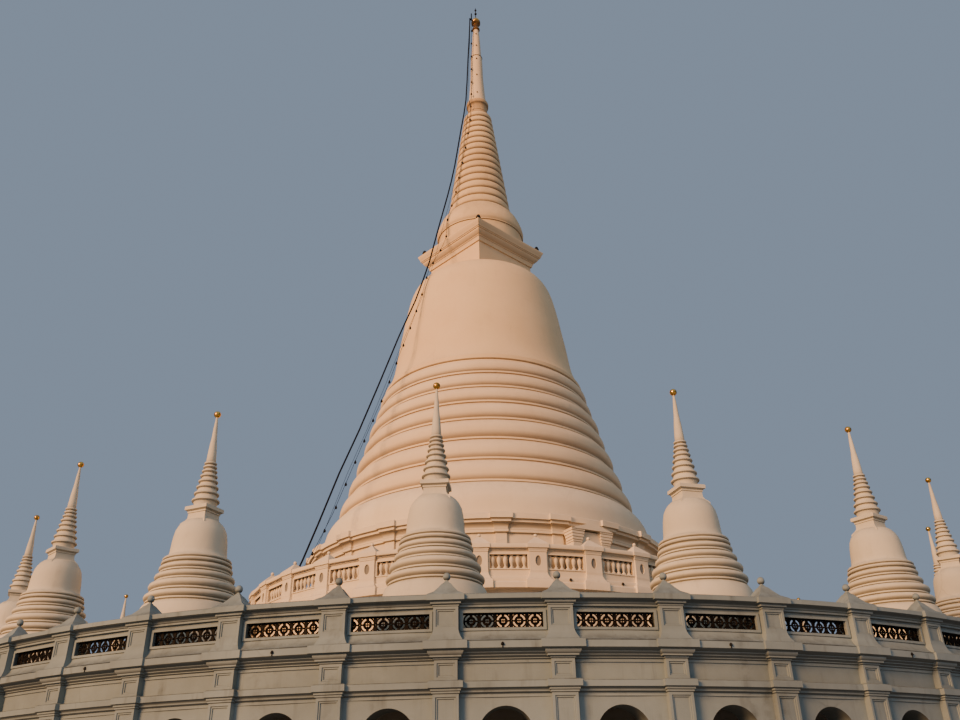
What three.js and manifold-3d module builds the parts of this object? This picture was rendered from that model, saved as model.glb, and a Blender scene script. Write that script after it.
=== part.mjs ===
// Bell-shaped stupa on round terraces, scale model at 1 to 2.
// Lengths below are those of the building in metres; MODEL turns them into millimetres of the model.
// The axis of the building is Z, the ground is z = 0, azimuth 0 is the front (-Y) and grows towards +X.
import * as THREE from 'three';
import { mergeVertices } from 'three/addons/utils/BufferGeometryUtils.js';
import Module from 'manifold-3d';

const wasm = await Module();
wasm.setup();

// Scale and joint gap
const MODEL = 500;
const GAP = 0.0006;

// Round outer wall with the arches
const BAYS = 54;
const WALL_PHASE = -2.446;
const WALL_SEGMENTS = 6;
const FLOOR_RADIUS = 26.95;
const FLOOR_TOP = 0.2;
const WALL_OUTER = 26.6;
const WALL_INNER = 25.7;
const WALL_TOP = 4.7;
const PILASTER_WIDTH = 0.69;
const PILASTER_OUT = 0.15;
const PILASTER_BOND = 0.2;
const ARCH_RADIUS = 0.74;
const ARCH_CROWN = 4.27;
const ARCH_STEPS = 5;
const ARCH_CUT_PAST = 0.5;
const CORE_RADIUS = 22.6;

// First terrace and its cornice
const TERRACE_TOP = 5.82;
const TERRACE_EDGE = [
  [26.66, 4.7], [26.78, 4.74], [26.78, 4.86], [26.6, 4.86], [26.6, 5.42], [26.95, 5.62], [27.05, 5.66],
  [27.05, 5.82],
];

// Parapet of the first terrace: flared base, wall with windows, coping, piers with pyramid caps
const PARAPET_SECTION = [
  [26.3, 5.82], [26.95, 5.84], [26.6, 6.15], [26.6, 6.82], [26.88, 6.97], [26.88, 7.12], [26.3, 7.12],
];
const WINDOW_WIDTH = 2.18;
const WINDOW_LOW = 6.24;
const WINDOW_HIGH = 6.64;
const WINDOW_CUT = 1.6;
const PIER_RADIUS = 26.45;
const PIER_WIDTH = 0.66;
const PIER_LOW = 6.15;
const PIER_TOP = 6.94;
const PIER_CAP_WIDTH = 1.04;
const PIER_CAP_LOW = 6.93;
const PIER_APEX = 7.57;

// Eighteen small stupas on the first terrace
const SATELLITES = 18;
const SATELLITE_PHASE = -3.817;
const SATELLITE_RADIUS = 24.0;
const SATELLITE_SIDES = 9;
const SATELLITE_PROFILE = [
  [1.98, 5.82], [1.56, 7.95], [1.14, 9.42], [0.95, 9.55],
  [0.88, 10.25], [0.6, 10.8], [0.4, 10.95], [0.46, 11.56], [0.2, 12.95], [0.05, 14.78],
];
const SATELLITE_THRONE_WIDTH = 0.93;
const SATELLITE_THRONE = [10.85, 11.33];
const SATELLITE_BALL = 0.125;
const SATELLITE_BALL_Z = 14.865;

// Second tier: round wall, terrace and balustrade
const SECOND_BAYS = 32;
const SECOND_PHASE = -1.45;
const SECOND_SEGMENTS = 8;
const SECOND_FIRST_SEAM = 2;
const SECOND_DRUM = [[13.15, 5.82], [13.15, 6.3], [12.9, 6.4], [12.9, 10.2]];
const SECOND_TERRACE = [[12.92, 10.2], [13.3, 10.4], [13.35, 10.46], [13.35, 10.7], [13.25, 10.75]];
const SECOND_TOP = 10.75;
const BALUSTRADE_SECTION = [
  [12.82, 10.75], [13.08, 10.75], [13.08, 12.12], [13.28, 12.2], [13.28, 12.4], [12.62, 12.4], [12.62, 12.2],
  [12.82, 12.12],
];
const COPING_TOP = 12.4;
const BALUSTER_WIDTH = 1.56;
const BALUSTER_LOW = 11.42;
const BALUSTER_HIGH = 11.95;
const BALUSTER_CUT = 1.2;
const SECOND_PIER_RADIUS = 12.95;
const SECOND_CAP_WIDTH = 0.64;
const SECOND_CAP_LOW = 12.39;
const SECOND_PIER_APEX = 12.78;

// Third tier: drum with pilasters, cornice and sloping skirt
const THIRD_PILASTERS = 22;
const THIRD_PHASE = 4.3;
const THIRD_RADIUS = 9.85;
const THIRD_PILASTER_WIDTH = 0.66;
const THIRD_PILASTER_RADIUS = 9.97;
const THIRD_PILASTER_DEPTH = 0.5;
const THIRD_SIDES = 44;
const THIRD_TOP = 13.9;
const THIRD_CORNICE = [
  [9.97, 13.9], [10.0, 14.04], [10.2, 14.36], [10.3, 14.5], [10.3, 14.78],
];
const SKIRT = [[9.46, 14.78], [9.46, 15.7], [9.2, 16.45], [8.7, 17.02]];

// Two porches with a low gable against the third tier: [left, right, back, front, bottom, top]
const PORCH_AZIMUTHS = [28.8, 208.8];
const PORCH_BLOCKS = [
  [-1.05, -0.52, 9.3, 10.6, 10.75, 13.5], [0.52, 1.05, 9.3, 10.6, 10.75, 13.5],
  [-1.05, 1.05, 9.3, 10.6, 13.05, 13.5], [-1.15, 1.15, 9.3, 10.72, 13.5, 14.05],
];
const PORCH_GABLE = [[-1.22, 14.04], [1.22, 14.04], [0, 14.42]];
const PORCH_GABLE_FRONT = 10.78;
const PORCH_BACK = 9.3;

// Seven rounded courses under the bell
const COURSE_LEVELS = [17.02, 18.41, 19.76, 21.06, 22.21, 23.31, 24.34, 25.32];
const COURSE_GROOVES = [8.52, 8.07, 7.6, 7.25, 6.99, 6.65, 6.4, 6.3];
const COURSE_WIDEST = [8.76, 8.31, 7.9, 7.51, 7.23, 6.88, 6.61];
const COURSE_FULLEST = 0.4;
const COURSE_FILLET = 0.02;
const BELL_SIDES = 36;

// Bell
const BELL = [
  [6.3, 25.32], [6.3, 25.6], [5.97, 26.3], [5.72, 27.2], [5.53, 28.5], [5.3, 30.06], [5.02, 31.6],
  [4.84, 32.4], [4.62, 33.05], [4.13, 33.75], [3.2, 34.15],
];

// Square throne with its cornice, corner to the front
const THRONE_AZIMUTH = -1.4;
const THRONE = [
  [3.45, 34.15], [3.45, 35.7], [3.6, 35.72], [3.76, 36.06], [4.14, 36.42], [4.41, 36.85], [4.41, 36.91],
];

// Round seat, ringed spire, plain spire and knob
const SEAT = [
  [2.9, 36.91], [2.9, 37.85], [3.06, 37.95], [3.04, 38.35], [2.9, 38.9], [2.45, 39.73], [2.2, 40.0],
];
const SEAT_SIDES = 24;
const RING_COUNT = 15;
const RING_SHRINK = 0.982;
const RING_LOW = 40.0;
const RING_HIGH = 49.62;
const RING_RADIUS_LOW = 2.22;
const RING_RADIUS_HIGH = 0.98;
const RING_DEPTH = 0.16;
const RING_FILLET = 0.01;
const RING_SIDES = 16;
const PLAIN_SPIRE = [
  [0.84, 49.62], [0.84, 50.0], [0.8, 51.1], [0.67, 51.2], [0.49, 53.8], [0.44, 56.1], [0.21, 59.3],
];
const PLAIN_SPIRE_SIDES = 12;
const KNOB = [
  [0.22, 59.3], [0.33, 59.45], [0.31, 59.7], [0.22, 59.95], [0.38, 60.2], [0.32, 60.55], [0.12, 60.72],
  [0.035, 60.75], [0.035, 61.2], [0.11, 61.25], [0.035, 61.36], [0.035, 62.0],
];
const KNOB_SIDES = 10;

// Arm at the knob that carries the cable and the lamp string
const CABLE_AZIMUTH = -46.45;
const CABLE_END_WIDTH = 2;
const CABLE_END_DEPTH = 1.2;
const ARM_LENGTH = 0.56;
const ARM_MIDDLE = 0.44;
const ARM_WIDTH = 0.14;
const ARM_LOW = 60.16;
const ARM_HIGH = 60.25;

// Cable and lamp string, fixed at the arm and at a pier of the balustrade: [from axis, azimuth, height]
const CABLE_RADIUS = 0.05;
const CABLE_STEPS = 26;
const CABLE = [
  [0.655, -46.45, 60.2], [0.68, -46.45, 59.48], [0.94, -46.45, 55.29], [1.21, -46.45, 50.82],
  [1.76, -46.45, 47.43], [2.38, -46.45, 43.71], [3.06, -46.45, 40.61], [3.7, -46.45, 38.11],
  [4.65, -46.45, 34.25], [5.75, -46.45, 30.81], [6.94, -46.45, 27.82], [8.29, -46.45, 24.12],
  [9.52, -46.45, 20.82], [10.65, -46.45, 18.03], [11.68, -46.45, 15.16], [12.5, -46.45, 13.1],
  [12.78, -46.45, 12.3],
];
const TUBE_SIDES = 6;
const LAMP_STRING_RADIUS = 0.03;
const LAMP_STRING_STEPS = 34;
const LAMP_STRING = [
  [0.46, -46.45, 60.2], [0.48, -46.45, 59.0], [0.56, -46.45, 56.0], [0.68, -38, 53.0], [0.96, -30, 51.0],
  [1.14, -27.9, 49.3], [1.6, -36.8, 45.78], [1.92, -46.45, 43.24], [2.42, -46.45, 40.69],
  [3.17, -46.45, 38.05], [3.28, -46.45, 36.9], [4.1, -46.45, 34.68], [4.55, -46.45, 34.06],
  [4.84, -46.45, 33.2], [5.03, -46.45, 32.4], [5.18, -46.45, 31.76], [5.95, -46.45, 29.2],
  [6.89, -46.45, 26.53], [7.77, -46.45, 23.91], [8.82, -46.45, 21.21], [9.84, -46.45, 18.52],
  [10.9, -46.45, 15.74], [11.75, -46.45, 13.91], [12.56, -45.3, 12.75], [12.72, -45.3, 12.3],
];

const WEDGE_REACH = 32;
const CUT_PAST = 1;
const DEGREE = Math.PI / 180;

// Turns a closed triangle mesh into a solid, faces turned outward.
function solid(geometry) {
  const plain = geometry.clone();
  plain.deleteAttribute('normal');
  plain.deleteAttribute('uv');
  const welded = mergeVertices(plain, 1e-4);
  const points = Float32Array.from(welded.attributes.position.array);
  const faces = [];
  const index = welded.index.array;
  let volume = 0;
  const a = new THREE.Vector3();
  const b = new THREE.Vector3();
  const c = new THREE.Vector3();
  for (let i = 0; i < index.length; i += 3) {
    const [p, q, r] = [index[i], index[i + 1], index[i + 2]];
    if (p === q || q === r || r === p) continue;
    faces.push(p, q, r);
    a.fromArray(points, 3 * p);
    b.fromArray(points, 3 * q);
    c.fromArray(points, 3 * r);
    volume += a.dot(b.cross(c));
  }
  if (volume < 0) faces.reverse();
  return new wasm.Manifold(new wasm.Mesh({
    numProp: 3,
    vertProperties: points,
    triVerts: Uint32Array.from(faces),
  }));
}

// Solid of revolution about Z; profile in metres as [radius, height], first vertex at the azimuth given.
function turned(profile, sides, azimuth = 0) {
  const points = profile.map(([r, z]) => new THREE.Vector2(r * MODEL, z * MODEL));
  const geometry = new THREE.LatheGeometry(points, sides, azimuth * DEGREE, 2 * Math.PI);
  geometry.rotateX(Math.PI / 2);
  return solid(geometry);
}

// Solid of revolution that is full to the axis.
function turnedFull(profile, sides, azimuth = 0) {
  const low = profile[0][1];
  const high = profile[profile.length - 1][1];
  return turned([[0, low], ...profile, [0, high]], sides, azimuth);
}

// Ring of revolution: the profile is closed back to its first point.
function turnedRing(profile, sides, azimuth = 0) {
  return turned([...profile, profile[0]], sides, azimuth);
}

// Upright box, its middle at the radius and azimuth given.
function radialBox(width, depth, low, high, radius, azimuth) {
  const geometry = new THREE.BoxGeometry(width * MODEL, depth * MODEL, (high - low) * MODEL);
  geometry.translate(0, -radius * MODEL, (low + high) / 2 * MODEL);
  geometry.rotateZ(azimuth * DEGREE);
  return solid(geometry);
}

// Four-sided pyramid, its middle at the radius and azimuth given.
function radialPyramid(width, low, high, radius, azimuth) {
  const geometry = new THREE.ConeGeometry(width / Math.SQRT2 * MODEL, (high - low) * MODEL, 4);
  geometry.rotateX(Math.PI / 2);
  geometry.rotateZ(45 * DEGREE);
  geometry.translate(0, -radius * MODEL, (low + high) / 2 * MODEL);
  geometry.rotateZ(azimuth * DEGREE);
  return solid(geometry);
}

// Prism with a round head that cuts a doorway through a round wall.
function archCutter(azimuth) {
  const spring = ARCH_CROWN - ARCH_RADIUS;
  const shape = new THREE.Shape();
  shape.moveTo(-ARCH_RADIUS * MODEL, (FLOOR_TOP - ARCH_CUT_PAST) * MODEL);
  shape.lineTo(ARCH_RADIUS * MODEL, (FLOOR_TOP - ARCH_CUT_PAST) * MODEL);
  shape.lineTo(ARCH_RADIUS * MODEL, spring * MODEL);
  shape.absarc(0, spring * MODEL, ARCH_RADIUS * MODEL, 0, Math.PI, false);
  const depth = WALL_OUTER - WALL_INNER + 2 * ARCH_CUT_PAST;
  const geometry = new THREE.ExtrudeGeometry(shape, {
    depth: depth * MODEL,
    bevelEnabled: false,
    curveSegments: ARCH_STEPS,
  });
  geometry.rotateX(Math.PI / 2);
  geometry.translate(0, -(WALL_INNER - ARCH_CUT_PAST) * MODEL, 0);
  geometry.rotateZ(azimuth * DEGREE);
  return solid(geometry);
}

// Wedge between two azimuths, a hair narrower on both sides, to cut a ring into segments.
function wedge(from, to, radius, low, high) {
  const trim = GAP / 2 / radius / DEGREE;
  const reach = WEDGE_REACH / Math.cos((to - from) / 2 * DEGREE);
  const shape = new THREE.Shape();
  shape.moveTo(0, 0);
  for (const angle of [from + trim, (from + to) / 2, to - trim]) {
    shape.lineTo(reach * Math.sin(angle * DEGREE) * MODEL, -reach * Math.cos(angle * DEGREE) * MODEL);
  }
  shape.closePath();
  const geometry = new THREE.ExtrudeGeometry(shape, { depth: (high - low) * MODEL, bevelEnabled: false });
  geometry.translate(0, 0, low * MODEL);
  return solid(geometry);
}

// Tube along a smooth line through points given as [from axis, azimuth, height].
function tube(points, radius, steps) {
  const line = new THREE.CatmullRomCurve3(points.map(([away, azimuth, height]) => new THREE.Vector3(
    away * Math.sin(azimuth * DEGREE) * MODEL,
    -away * Math.cos(azimuth * DEGREE) * MODEL,
    height * MODEL,
  )), false, 'centripetal');
  const section = new THREE.Shape();
  section.absellipse(0, 0, radius * MODEL, radius * MODEL, 0, 2 * Math.PI, false);
  return solid(new THREE.ExtrudeGeometry(section, {
    steps,
    curveSegments: TUBE_SIDES / 2,
    extrudePath: line,
    bevelEnabled: false,
  }));
}

// All parts added together.
function joined(parts) {
  let total = parts[0];
  for (const part of parts.slice(1)) {
    total = total.add(part);
  }
  return total;
}

// Named mesh with its own material.
function mesh(name, body, color, roughness = 0.85, metalness = 0) {
  const data = body.getMesh();
  const geometry = new THREE.BufferGeometry();
  const points = new Float32Array(data.numVert * 3);
  for (let i = 0; i < data.numVert; i += 1) {
    for (let k = 0; k < 3; k += 1) {
      points[3 * i + k] = data.vertProperties[data.numProp * i + k];
    }
  }
  geometry.setAttribute('position', new THREE.BufferAttribute(points, 3));
  geometry.setIndex(Array.from(data.triVerts));
  geometry.computeVertexNormals();
  const result = new THREE.Mesh(geometry, new THREE.MeshStandardMaterial({ color, roughness, metalness }));
  result.name = name;
  return result;
}

// Low round floor of the arcade with the masonry core standing on the ground inside it.
function groundFloor() {
  const floor = turnedRing([
    [CORE_RADIUS + GAP, 0], [FLOOR_RADIUS, 0], [FLOOR_RADIUS, FLOOR_TOP], [CORE_RADIUS + GAP, FLOOR_TOP],
  ], BAYS, WALL_PHASE);
  const core = turnedFull([[CORE_RADIUS, 0], [CORE_RADIUS, WALL_TOP - GAP]], BAYS, WALL_PHASE);
  return [
    mesh('gallery_floor', floor, 0xb9b2a4),
    mesh('core_drum', core, 0xe2ddd0),
  ];
}

// Arcaded round wall, cut into segments at the middle of a pilaster.
function outerWall() {
  const bay = 360 / BAYS;
  const ring = turnedRing([
    [WALL_INNER, FLOOR_TOP + GAP], [WALL_OUTER, FLOOR_TOP + GAP],
    [WALL_OUTER, WALL_TOP - GAP], [WALL_INNER, WALL_TOP - GAP],
  ], BAYS, WALL_PHASE);
  const perSegment = BAYS / WALL_SEGMENTS;
  const meshes = [];
  for (let s = 0; s < WALL_SEGMENTS; s += 1) {
    const first = WALL_PHASE + s * perSegment * bay;
    const parts = [ring];
    for (let k = 0; k <= perSegment; k += 1) {
      const face = WALL_OUTER + PILASTER_OUT;
      const back = WALL_OUTER - PILASTER_BOND;
      parts.push(radialBox(PILASTER_WIDTH, face - back, FLOOR_TOP + GAP, WALL_TOP - GAP,
        (face + back) / 2, first + k * bay));
    }
    let body = joined(parts);
    for (let k = 0; k < perSegment; k += 1) {
      body = body.subtract(archCutter(first + (k + 0.5) * bay));
    }
    body = body.intersect(wedge(first, first + perSegment * bay, WALL_OUTER, 0, PARAPET_SECTION[0][1]));
    meshes.push(mesh(`outer_wall_${s + 1}`, body, 0xdcd7ca));
  }
  return meshes;
}

// First terrace with the cornice of the outer wall at its edge.
function firstTerrace() {
  const body = turnedFull(TERRACE_EDGE, BAYS, WALL_PHASE);
  return [mesh('first_terrace', body, 0xdcd7ca)];
}

// Parapet with windows and capped piers, cut into segments at the middle of a pier.
function parapet() {
  const bay = 360 / BAYS;
  const ring = turnedRing(PARAPET_SECTION.map(([r, z], i) => [r, i === 0 ? z + GAP : z]), BAYS, WALL_PHASE);
  const perSegment = BAYS / WALL_SEGMENTS;
  const meshes = [];
  for (let s = 0; s < WALL_SEGMENTS; s += 1) {
    const first = WALL_PHASE + s * perSegment * bay;
    let body = ring;
    for (let k = 0; k < perSegment; k += 1) {
      body = body.subtract(radialBox(WINDOW_WIDTH, WINDOW_CUT, WINDOW_LOW, WINDOW_HIGH, PIER_RADIUS,
        first + (k + 0.5) * bay));
    }
    for (let k = 0; k <= perSegment; k += 1) {
      const azimuth = first + k * bay;
      body = body.add(radialBox(PIER_WIDTH, PIER_WIDTH, PIER_LOW, PIER_TOP, PIER_RADIUS, azimuth));
      body = body.add(radialPyramid(PIER_CAP_WIDTH, PIER_CAP_LOW, PIER_APEX, PIER_RADIUS, azimuth));
    }
    body = body.intersect(wedge(first, first + perSegment * bay, PIER_RADIUS, WALL_TOP, PIER_APEX + CUT_PAST));
    meshes.push(mesh(`parapet_${s + 1}`, body, 0xdcd7ca));
  }
  return meshes;
}

// Ring of eighteen small stupas, each with its square throne turned to the axis.
function satellites() {
  const meshes = [];
  for (let s = 0; s < SATELLITES; s += 1) {
    const azimuth = SATELLITE_PHASE + s * 360 / SATELLITES;
    const body = turnedFull(lifted(SATELLITE_PROFILE), SATELLITE_SIDES);
    const throne = radialBox(SATELLITE_THRONE_WIDTH, SATELLITE_THRONE_WIDTH, ...SATELLITE_THRONE, 0, 0);
    const sphere = new THREE.OctahedronGeometry(SATELLITE_BALL * MODEL, 0);
    sphere.translate(0, 0, SATELLITE_BALL_Z * MODEL);
    const whole = joined([body, throne, solid(sphere)]);
    const placed = whole.translate([0, -SATELLITE_RADIUS * MODEL, 0]).rotate([0, 0, azimuth]);
    meshes.push(mesh(`small_stupa_${s + 1}`, placed, 0xe0dbcf));
  }
  return meshes;
}

// The profile with its first point raised by the joint gap.
function lifted(profile) {
  return profile.map(([r, z], i) => [r, i === 0 ? z + GAP : z]);
}

// Second tier: plain round wall and terrace.
function secondTier() {
  const wall = lifted(SECOND_DRUM).map(([r, z], i) => [r, i === SECOND_DRUM.length - 1 ? z - GAP : z]);
  const drum = turnedFull(wall, SECOND_BAYS, SECOND_PHASE);
  const terrace = turnedFull(SECOND_TERRACE, SECOND_BAYS, SECOND_PHASE);
  return [mesh('second_drum', drum, 0xe6dfd0), mesh('second_terrace', terrace, 0xe6dfd0)];
}

// Cap of a pier of the second tier.
function secondCap(azimuth, raised = 0) {
  return radialPyramid(SECOND_CAP_WIDTH, SECOND_CAP_LOW + raised, SECOND_PIER_APEX + raised,
    SECOND_PIER_RADIUS, azimuth);
}

// Balustrade of the second tier with baluster openings and capped piers.
function balustrade() {
  const bay = 360 / SECOND_BAYS;
  const section = BALUSTRADE_SECTION.map(([r, z]) => [r, z === SECOND_TOP ? z + GAP : z]);
  const ring = turnedRing(section, SECOND_BAYS, SECOND_PHASE);
  const perSegment = SECOND_BAYS / SECOND_SEGMENTS;
  const meshes = [];
  for (let s = 0; s < SECOND_SEGMENTS; s += 1) {
    const first = SECOND_PHASE + (SECOND_FIRST_SEAM + s * perSegment) * bay;
    let body = ring;
    for (let k = 0; k < perSegment; k += 1) {
      body = body.subtract(radialBox(BALUSTER_WIDTH, BALUSTER_CUT, BALUSTER_LOW, BALUSTER_HIGH,
        SECOND_PIER_RADIUS, first + (k + 0.5) * bay));
    }
    for (let k = 0; k <= perSegment; k += 1) {
      body = body.add(secondCap(first + k * bay));
    }
    const part = wedge(first, first + perSegment * bay, SECOND_PIER_RADIUS, TERRACE_TOP, THIRD_TOP);
    meshes.push(mesh(`balustrade_${s + 1}`, body.intersect(part), 0xe6dfd0));
  }
  return meshes;
}

// Third tier: drum with shallow pilasters, its cornice and the sloping skirt above.
function thirdTier() {
  const low = SECOND_TOP + GAP;
  const wall = [[THIRD_RADIUS, low], [THIRD_RADIUS, THIRD_TOP - GAP]];
  const parts = [turnedFull(wall, THIRD_SIDES, THIRD_PHASE)];
  for (let k = 0; k < THIRD_PILASTERS; k += 1) {
    parts.push(radialBox(THIRD_PILASTER_WIDTH, THIRD_PILASTER_DEPTH, low, THIRD_TOP - GAP,
      THIRD_PILASTER_RADIUS - THIRD_PILASTER_DEPTH / 2, THIRD_PHASE + k * 360 / THIRD_PILASTERS));
  }
  const cornice = turnedFull(THIRD_CORNICE, THIRD_SIDES, THIRD_PHASE);
  const slope = lifted(SKIRT).map(([r, z], i) => [r, i === SKIRT.length - 1 ? z - GAP : z]);
  const skirt = turnedFull(slope, THIRD_SIDES, THIRD_PHASE);
  return [
    mesh('third_drum', joined(parts), 0xe6dfd0),
    mesh('third_cornice', cornice, 0xe6dfd0),
    mesh('skirt', skirt, 0xeadfce),
  ];
}

// Porches, cut to the tier that they stand against.
function porches() {
  const bay = 360 / THIRD_PILASTERS;
  const low = SECOND_TOP - CUT_PAST;
  const tier = [
    turnedFull([[THIRD_RADIUS + GAP, low], [THIRD_RADIUS + GAP, THIRD_TOP]], THIRD_SIDES, THIRD_PHASE),
    turnedFull(THIRD_CORNICE.map(([r, z], i) => [r + GAP, i === 0 ? z - GAP : z]), THIRD_SIDES, THIRD_PHASE),
    turnedFull(SKIRT.map(([r, z]) => [r + GAP, z]), THIRD_SIDES, THIRD_PHASE),
  ];
  for (let k = 0; k < THIRD_PILASTERS; k += 1) {
    tier.push(radialBox(THIRD_PILASTER_WIDTH + 2 * GAP, THIRD_PILASTER_DEPTH + 2 * GAP, low, THIRD_TOP,
      THIRD_PILASTER_RADIUS - THIRD_PILASTER_DEPTH / 2, THIRD_PHASE + k * bay));
  }
  const cutter = joined(tier);
  return PORCH_AZIMUTHS.map((azimuth, i) => {
    const parts = PORCH_BLOCKS.map(([left, right, back, front, bottom, top]) => {
      const foot = bottom === SECOND_TOP ? bottom + GAP : bottom;
      const size = [right - left, front - back, top - foot].map((side) => side * MODEL);
      const block = new THREE.BoxGeometry(...size);
      block.translate((left + right) / 2 * MODEL, -(front + back) / 2 * MODEL, (top + foot) / 2 * MODEL);
      return solid(block);
    });
    const outline = new THREE.Shape(PORCH_GABLE.map(([x, z]) => new THREE.Vector2(x * MODEL, z * MODEL)));
    const gable = new THREE.ExtrudeGeometry(outline, {
      depth: (PORCH_GABLE_FRONT - PORCH_BACK) * MODEL,
      bevelEnabled: false,
    });
    gable.rotateX(Math.PI / 2);
    gable.translate(0, -PORCH_BACK * MODEL, 0);
    const body = joined([...parts, solid(gable)]).rotate([0, 0, azimuth]).subtract(cutter);
    return mesh(`porch_${i + 1}`, body, 0xe6dfd0);
  });
}

// Rounded courses that step in towards the bell.
function courses() {
  const profile = [];
  const last = COURSE_LEVELS.length - 1;
  for (let i = 0; i < last; i += 1) {
    const height = COURSE_LEVELS[i + 1] - COURSE_LEVELS[i];
    profile.push([COURSE_GROOVES[i], COURSE_LEVELS[i] + (i === 0 ? 0 : COURSE_FILLET)]);
    profile.push([COURSE_WIDEST[i], COURSE_LEVELS[i] + height * COURSE_FULLEST]);
  }
  profile.push([COURSE_GROOVES[last], COURSE_LEVELS[last] - GAP]);
  return [mesh('ring_courses', turnedFull(profile, BELL_SIDES, THIRD_PHASE), 0xeadfce)];
}

// Bell, square throne and round seat of the spire.
function bellAndThrone() {
  const bell = turnedFull(BELL, BELL_SIDES, THIRD_PHASE);
  const throne = turnedFull(lifted(THRONE), 4, THRONE_AZIMUTH);
  const seat = turnedFull(lifted(SEAT), SEAT_SIDES);
  return [
    mesh('bell', bell, 0xeadfce),
    mesh('throne', throne, 0xeadfce),
    mesh('spire_seat', seat, 0xeadfce),
  ];
}

// Ringed spire, its rings lower towards the top, plain spire and gilded knob with its rod.
function spire() {
  const shares = Array.from({ length: RING_COUNT }, (_, i) => RING_SHRINK ** i);
  const unit = (RING_HIGH - RING_LOW) / shares.reduce((sum, share) => sum + share, 0);
  const rings = [];
  let z = RING_LOW;
  shares.forEach((share, i) => {
    const height = share * unit;
    const t = (z - RING_LOW) / (RING_HIGH - RING_LOW);
    const radius = RING_RADIUS_LOW + (RING_RADIUS_HIGH - RING_RADIUS_LOW) * t;
    rings.push([radius - RING_DEPTH, z + (i === 0 ? GAP : RING_FILLET)]);
    rings.push([radius, z + height / 2]);
    z += height;
  });
  rings.push([RING_RADIUS_HIGH - RING_DEPTH, RING_HIGH - GAP]);
  return [
    mesh('ringed_spire', turnedFull(rings, RING_SIDES), 0xeadfce),
    mesh('plain_spire', turnedFull(PLAIN_SPIRE, PLAIN_SPIRE_SIDES), 0xeadfce),
    mesh('gilded_knob', turnedFull(lifted(KNOB), KNOB_SIDES), 0xc9952f, 0.35, 1),
  ];
}

// Arm of the knob, and the taut cable and lamp string from it to the pier below, with touching ends.
function cables() {
  const knob = turnedFull(KNOB.map(([r, z]) => [r + GAP, z]), KNOB_SIDES);
  const arm = radialBox(ARM_WIDTH, ARM_LENGTH, ARM_LOW, ARM_HIGH, ARM_MIDDLE, CABLE_AZIMUTH);
  const around = radialBox(ARM_WIDTH, ARM_LENGTH, ARM_LOW - GAP, ARM_HIGH, ARM_MIDDLE, CABLE_AZIMUTH);
  const coping = radialBox(CABLE_END_WIDTH, CABLE_END_DEPTH, SECOND_TOP, COPING_TOP + GAP,
    SECOND_PIER_RADIUS, CABLE_AZIMUTH);
  const ends = joined([around, coping, secondCap(CABLE_AZIMUTH, GAP)]);
  const cable = tube(CABLE, CABLE_RADIUS, CABLE_STEPS).subtract(ends);
  const string = tube(LAMP_STRING, LAMP_STRING_RADIUS, LAMP_STRING_STEPS).subtract(ends);
  return [
    mesh('cable_arm', arm.subtract(knob), 0x24242a, 0.6, 1),
    mesh('stay_cable', cable, 0x15161a, 0.6),
    mesh('lamp_string', string, 0x1a1a1d, 0.6),
  ];
}

const stupa = new THREE.Group();
stupa.name = 'stupa';
for (const group of [
  groundFloor(), outerWall(), firstTerrace(), parapet(), satellites(), secondTier(), balustrade(),
  thirdTier(), porches(), courses(), bellAndThrone(), spire(), cables(),
]) {
  stupa.add(...group);
}

export default stupa;
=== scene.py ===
# %% [markdown]
# # A bell-shaped stupa in lime-washed masonry
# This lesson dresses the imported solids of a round, stepped stupa: an arcaded wall, a parapet with iron
# grilles, eighteen small stupas, a balustrade, rounded courses, a bell and a ringed spire.
# Almost everything here was once run with a template round a centre, so almost everything is a profile
# that is turned. The profile is drawn point by point in edit mode and then spun.

import math

import bmesh
import bpy
from mathutils import Matrix, Vector


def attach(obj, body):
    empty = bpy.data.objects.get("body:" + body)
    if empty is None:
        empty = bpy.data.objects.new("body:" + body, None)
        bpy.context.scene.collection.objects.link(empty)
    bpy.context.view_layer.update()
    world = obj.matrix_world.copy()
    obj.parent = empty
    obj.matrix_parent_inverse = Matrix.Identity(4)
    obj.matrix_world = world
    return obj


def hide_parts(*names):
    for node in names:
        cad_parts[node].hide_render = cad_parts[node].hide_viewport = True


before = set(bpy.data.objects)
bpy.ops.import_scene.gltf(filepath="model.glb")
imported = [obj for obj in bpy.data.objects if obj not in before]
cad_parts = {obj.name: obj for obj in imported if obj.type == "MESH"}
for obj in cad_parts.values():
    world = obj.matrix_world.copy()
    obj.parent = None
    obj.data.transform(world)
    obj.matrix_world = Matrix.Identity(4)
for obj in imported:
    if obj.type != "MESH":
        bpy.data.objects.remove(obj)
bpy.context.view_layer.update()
print("CAD nodes:", len(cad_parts))

# %% [markdown]
# ## Scale and the grid of the building
# Sizes are written in metres of the real building and multiplied by MODEL once, where a mesh is made,
# because the model is built at 1 to 2. Azimuth 0 is the front (-Y) and grows towards +X.

# %% Scale and grid
MODEL = 0.5
BAYS, WALL_PHASE = 54, -2.446
BAY = 360 / BAYS
SEGMENTS = 6
BAYS_PER_SEGMENT = BAYS // SEGMENTS
FLOOR_TOP = 0.2
WALL_INNER, WALL_FACE, WALL_TOP = 25.7, 26.56, 4.7
PIER_RING = 26.45
SATELLITES, SATELLITE_PHASE, SATELLITE_RING = 18, -3.817, 24.0
SECOND_BAYS, SECOND_PHASE = 32, -1.45
SECOND_BAY = 360 / SECOND_BAYS
SECOND_SEGMENTS, SECOND_FIRST_SEAM = 8, 2
THIRD_PILASTERS, THIRD_PHASE = 22, 4.1
THRONE_AZIMUTH = -1.4
WALL_STEPS, BODY_STEPS = 216, 160
print("one bay of the wall is", round(2 * math.pi * WALL_FACE / BAYS, 2), "m wide")

# %% [markdown]
# ## The camera
# The photograph was taken by a person standing about 25 m in front of the wall and looking up, so the
# camera stands at eye height and is pitched. The slight lean of the picture is a roll about its axis.

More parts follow.
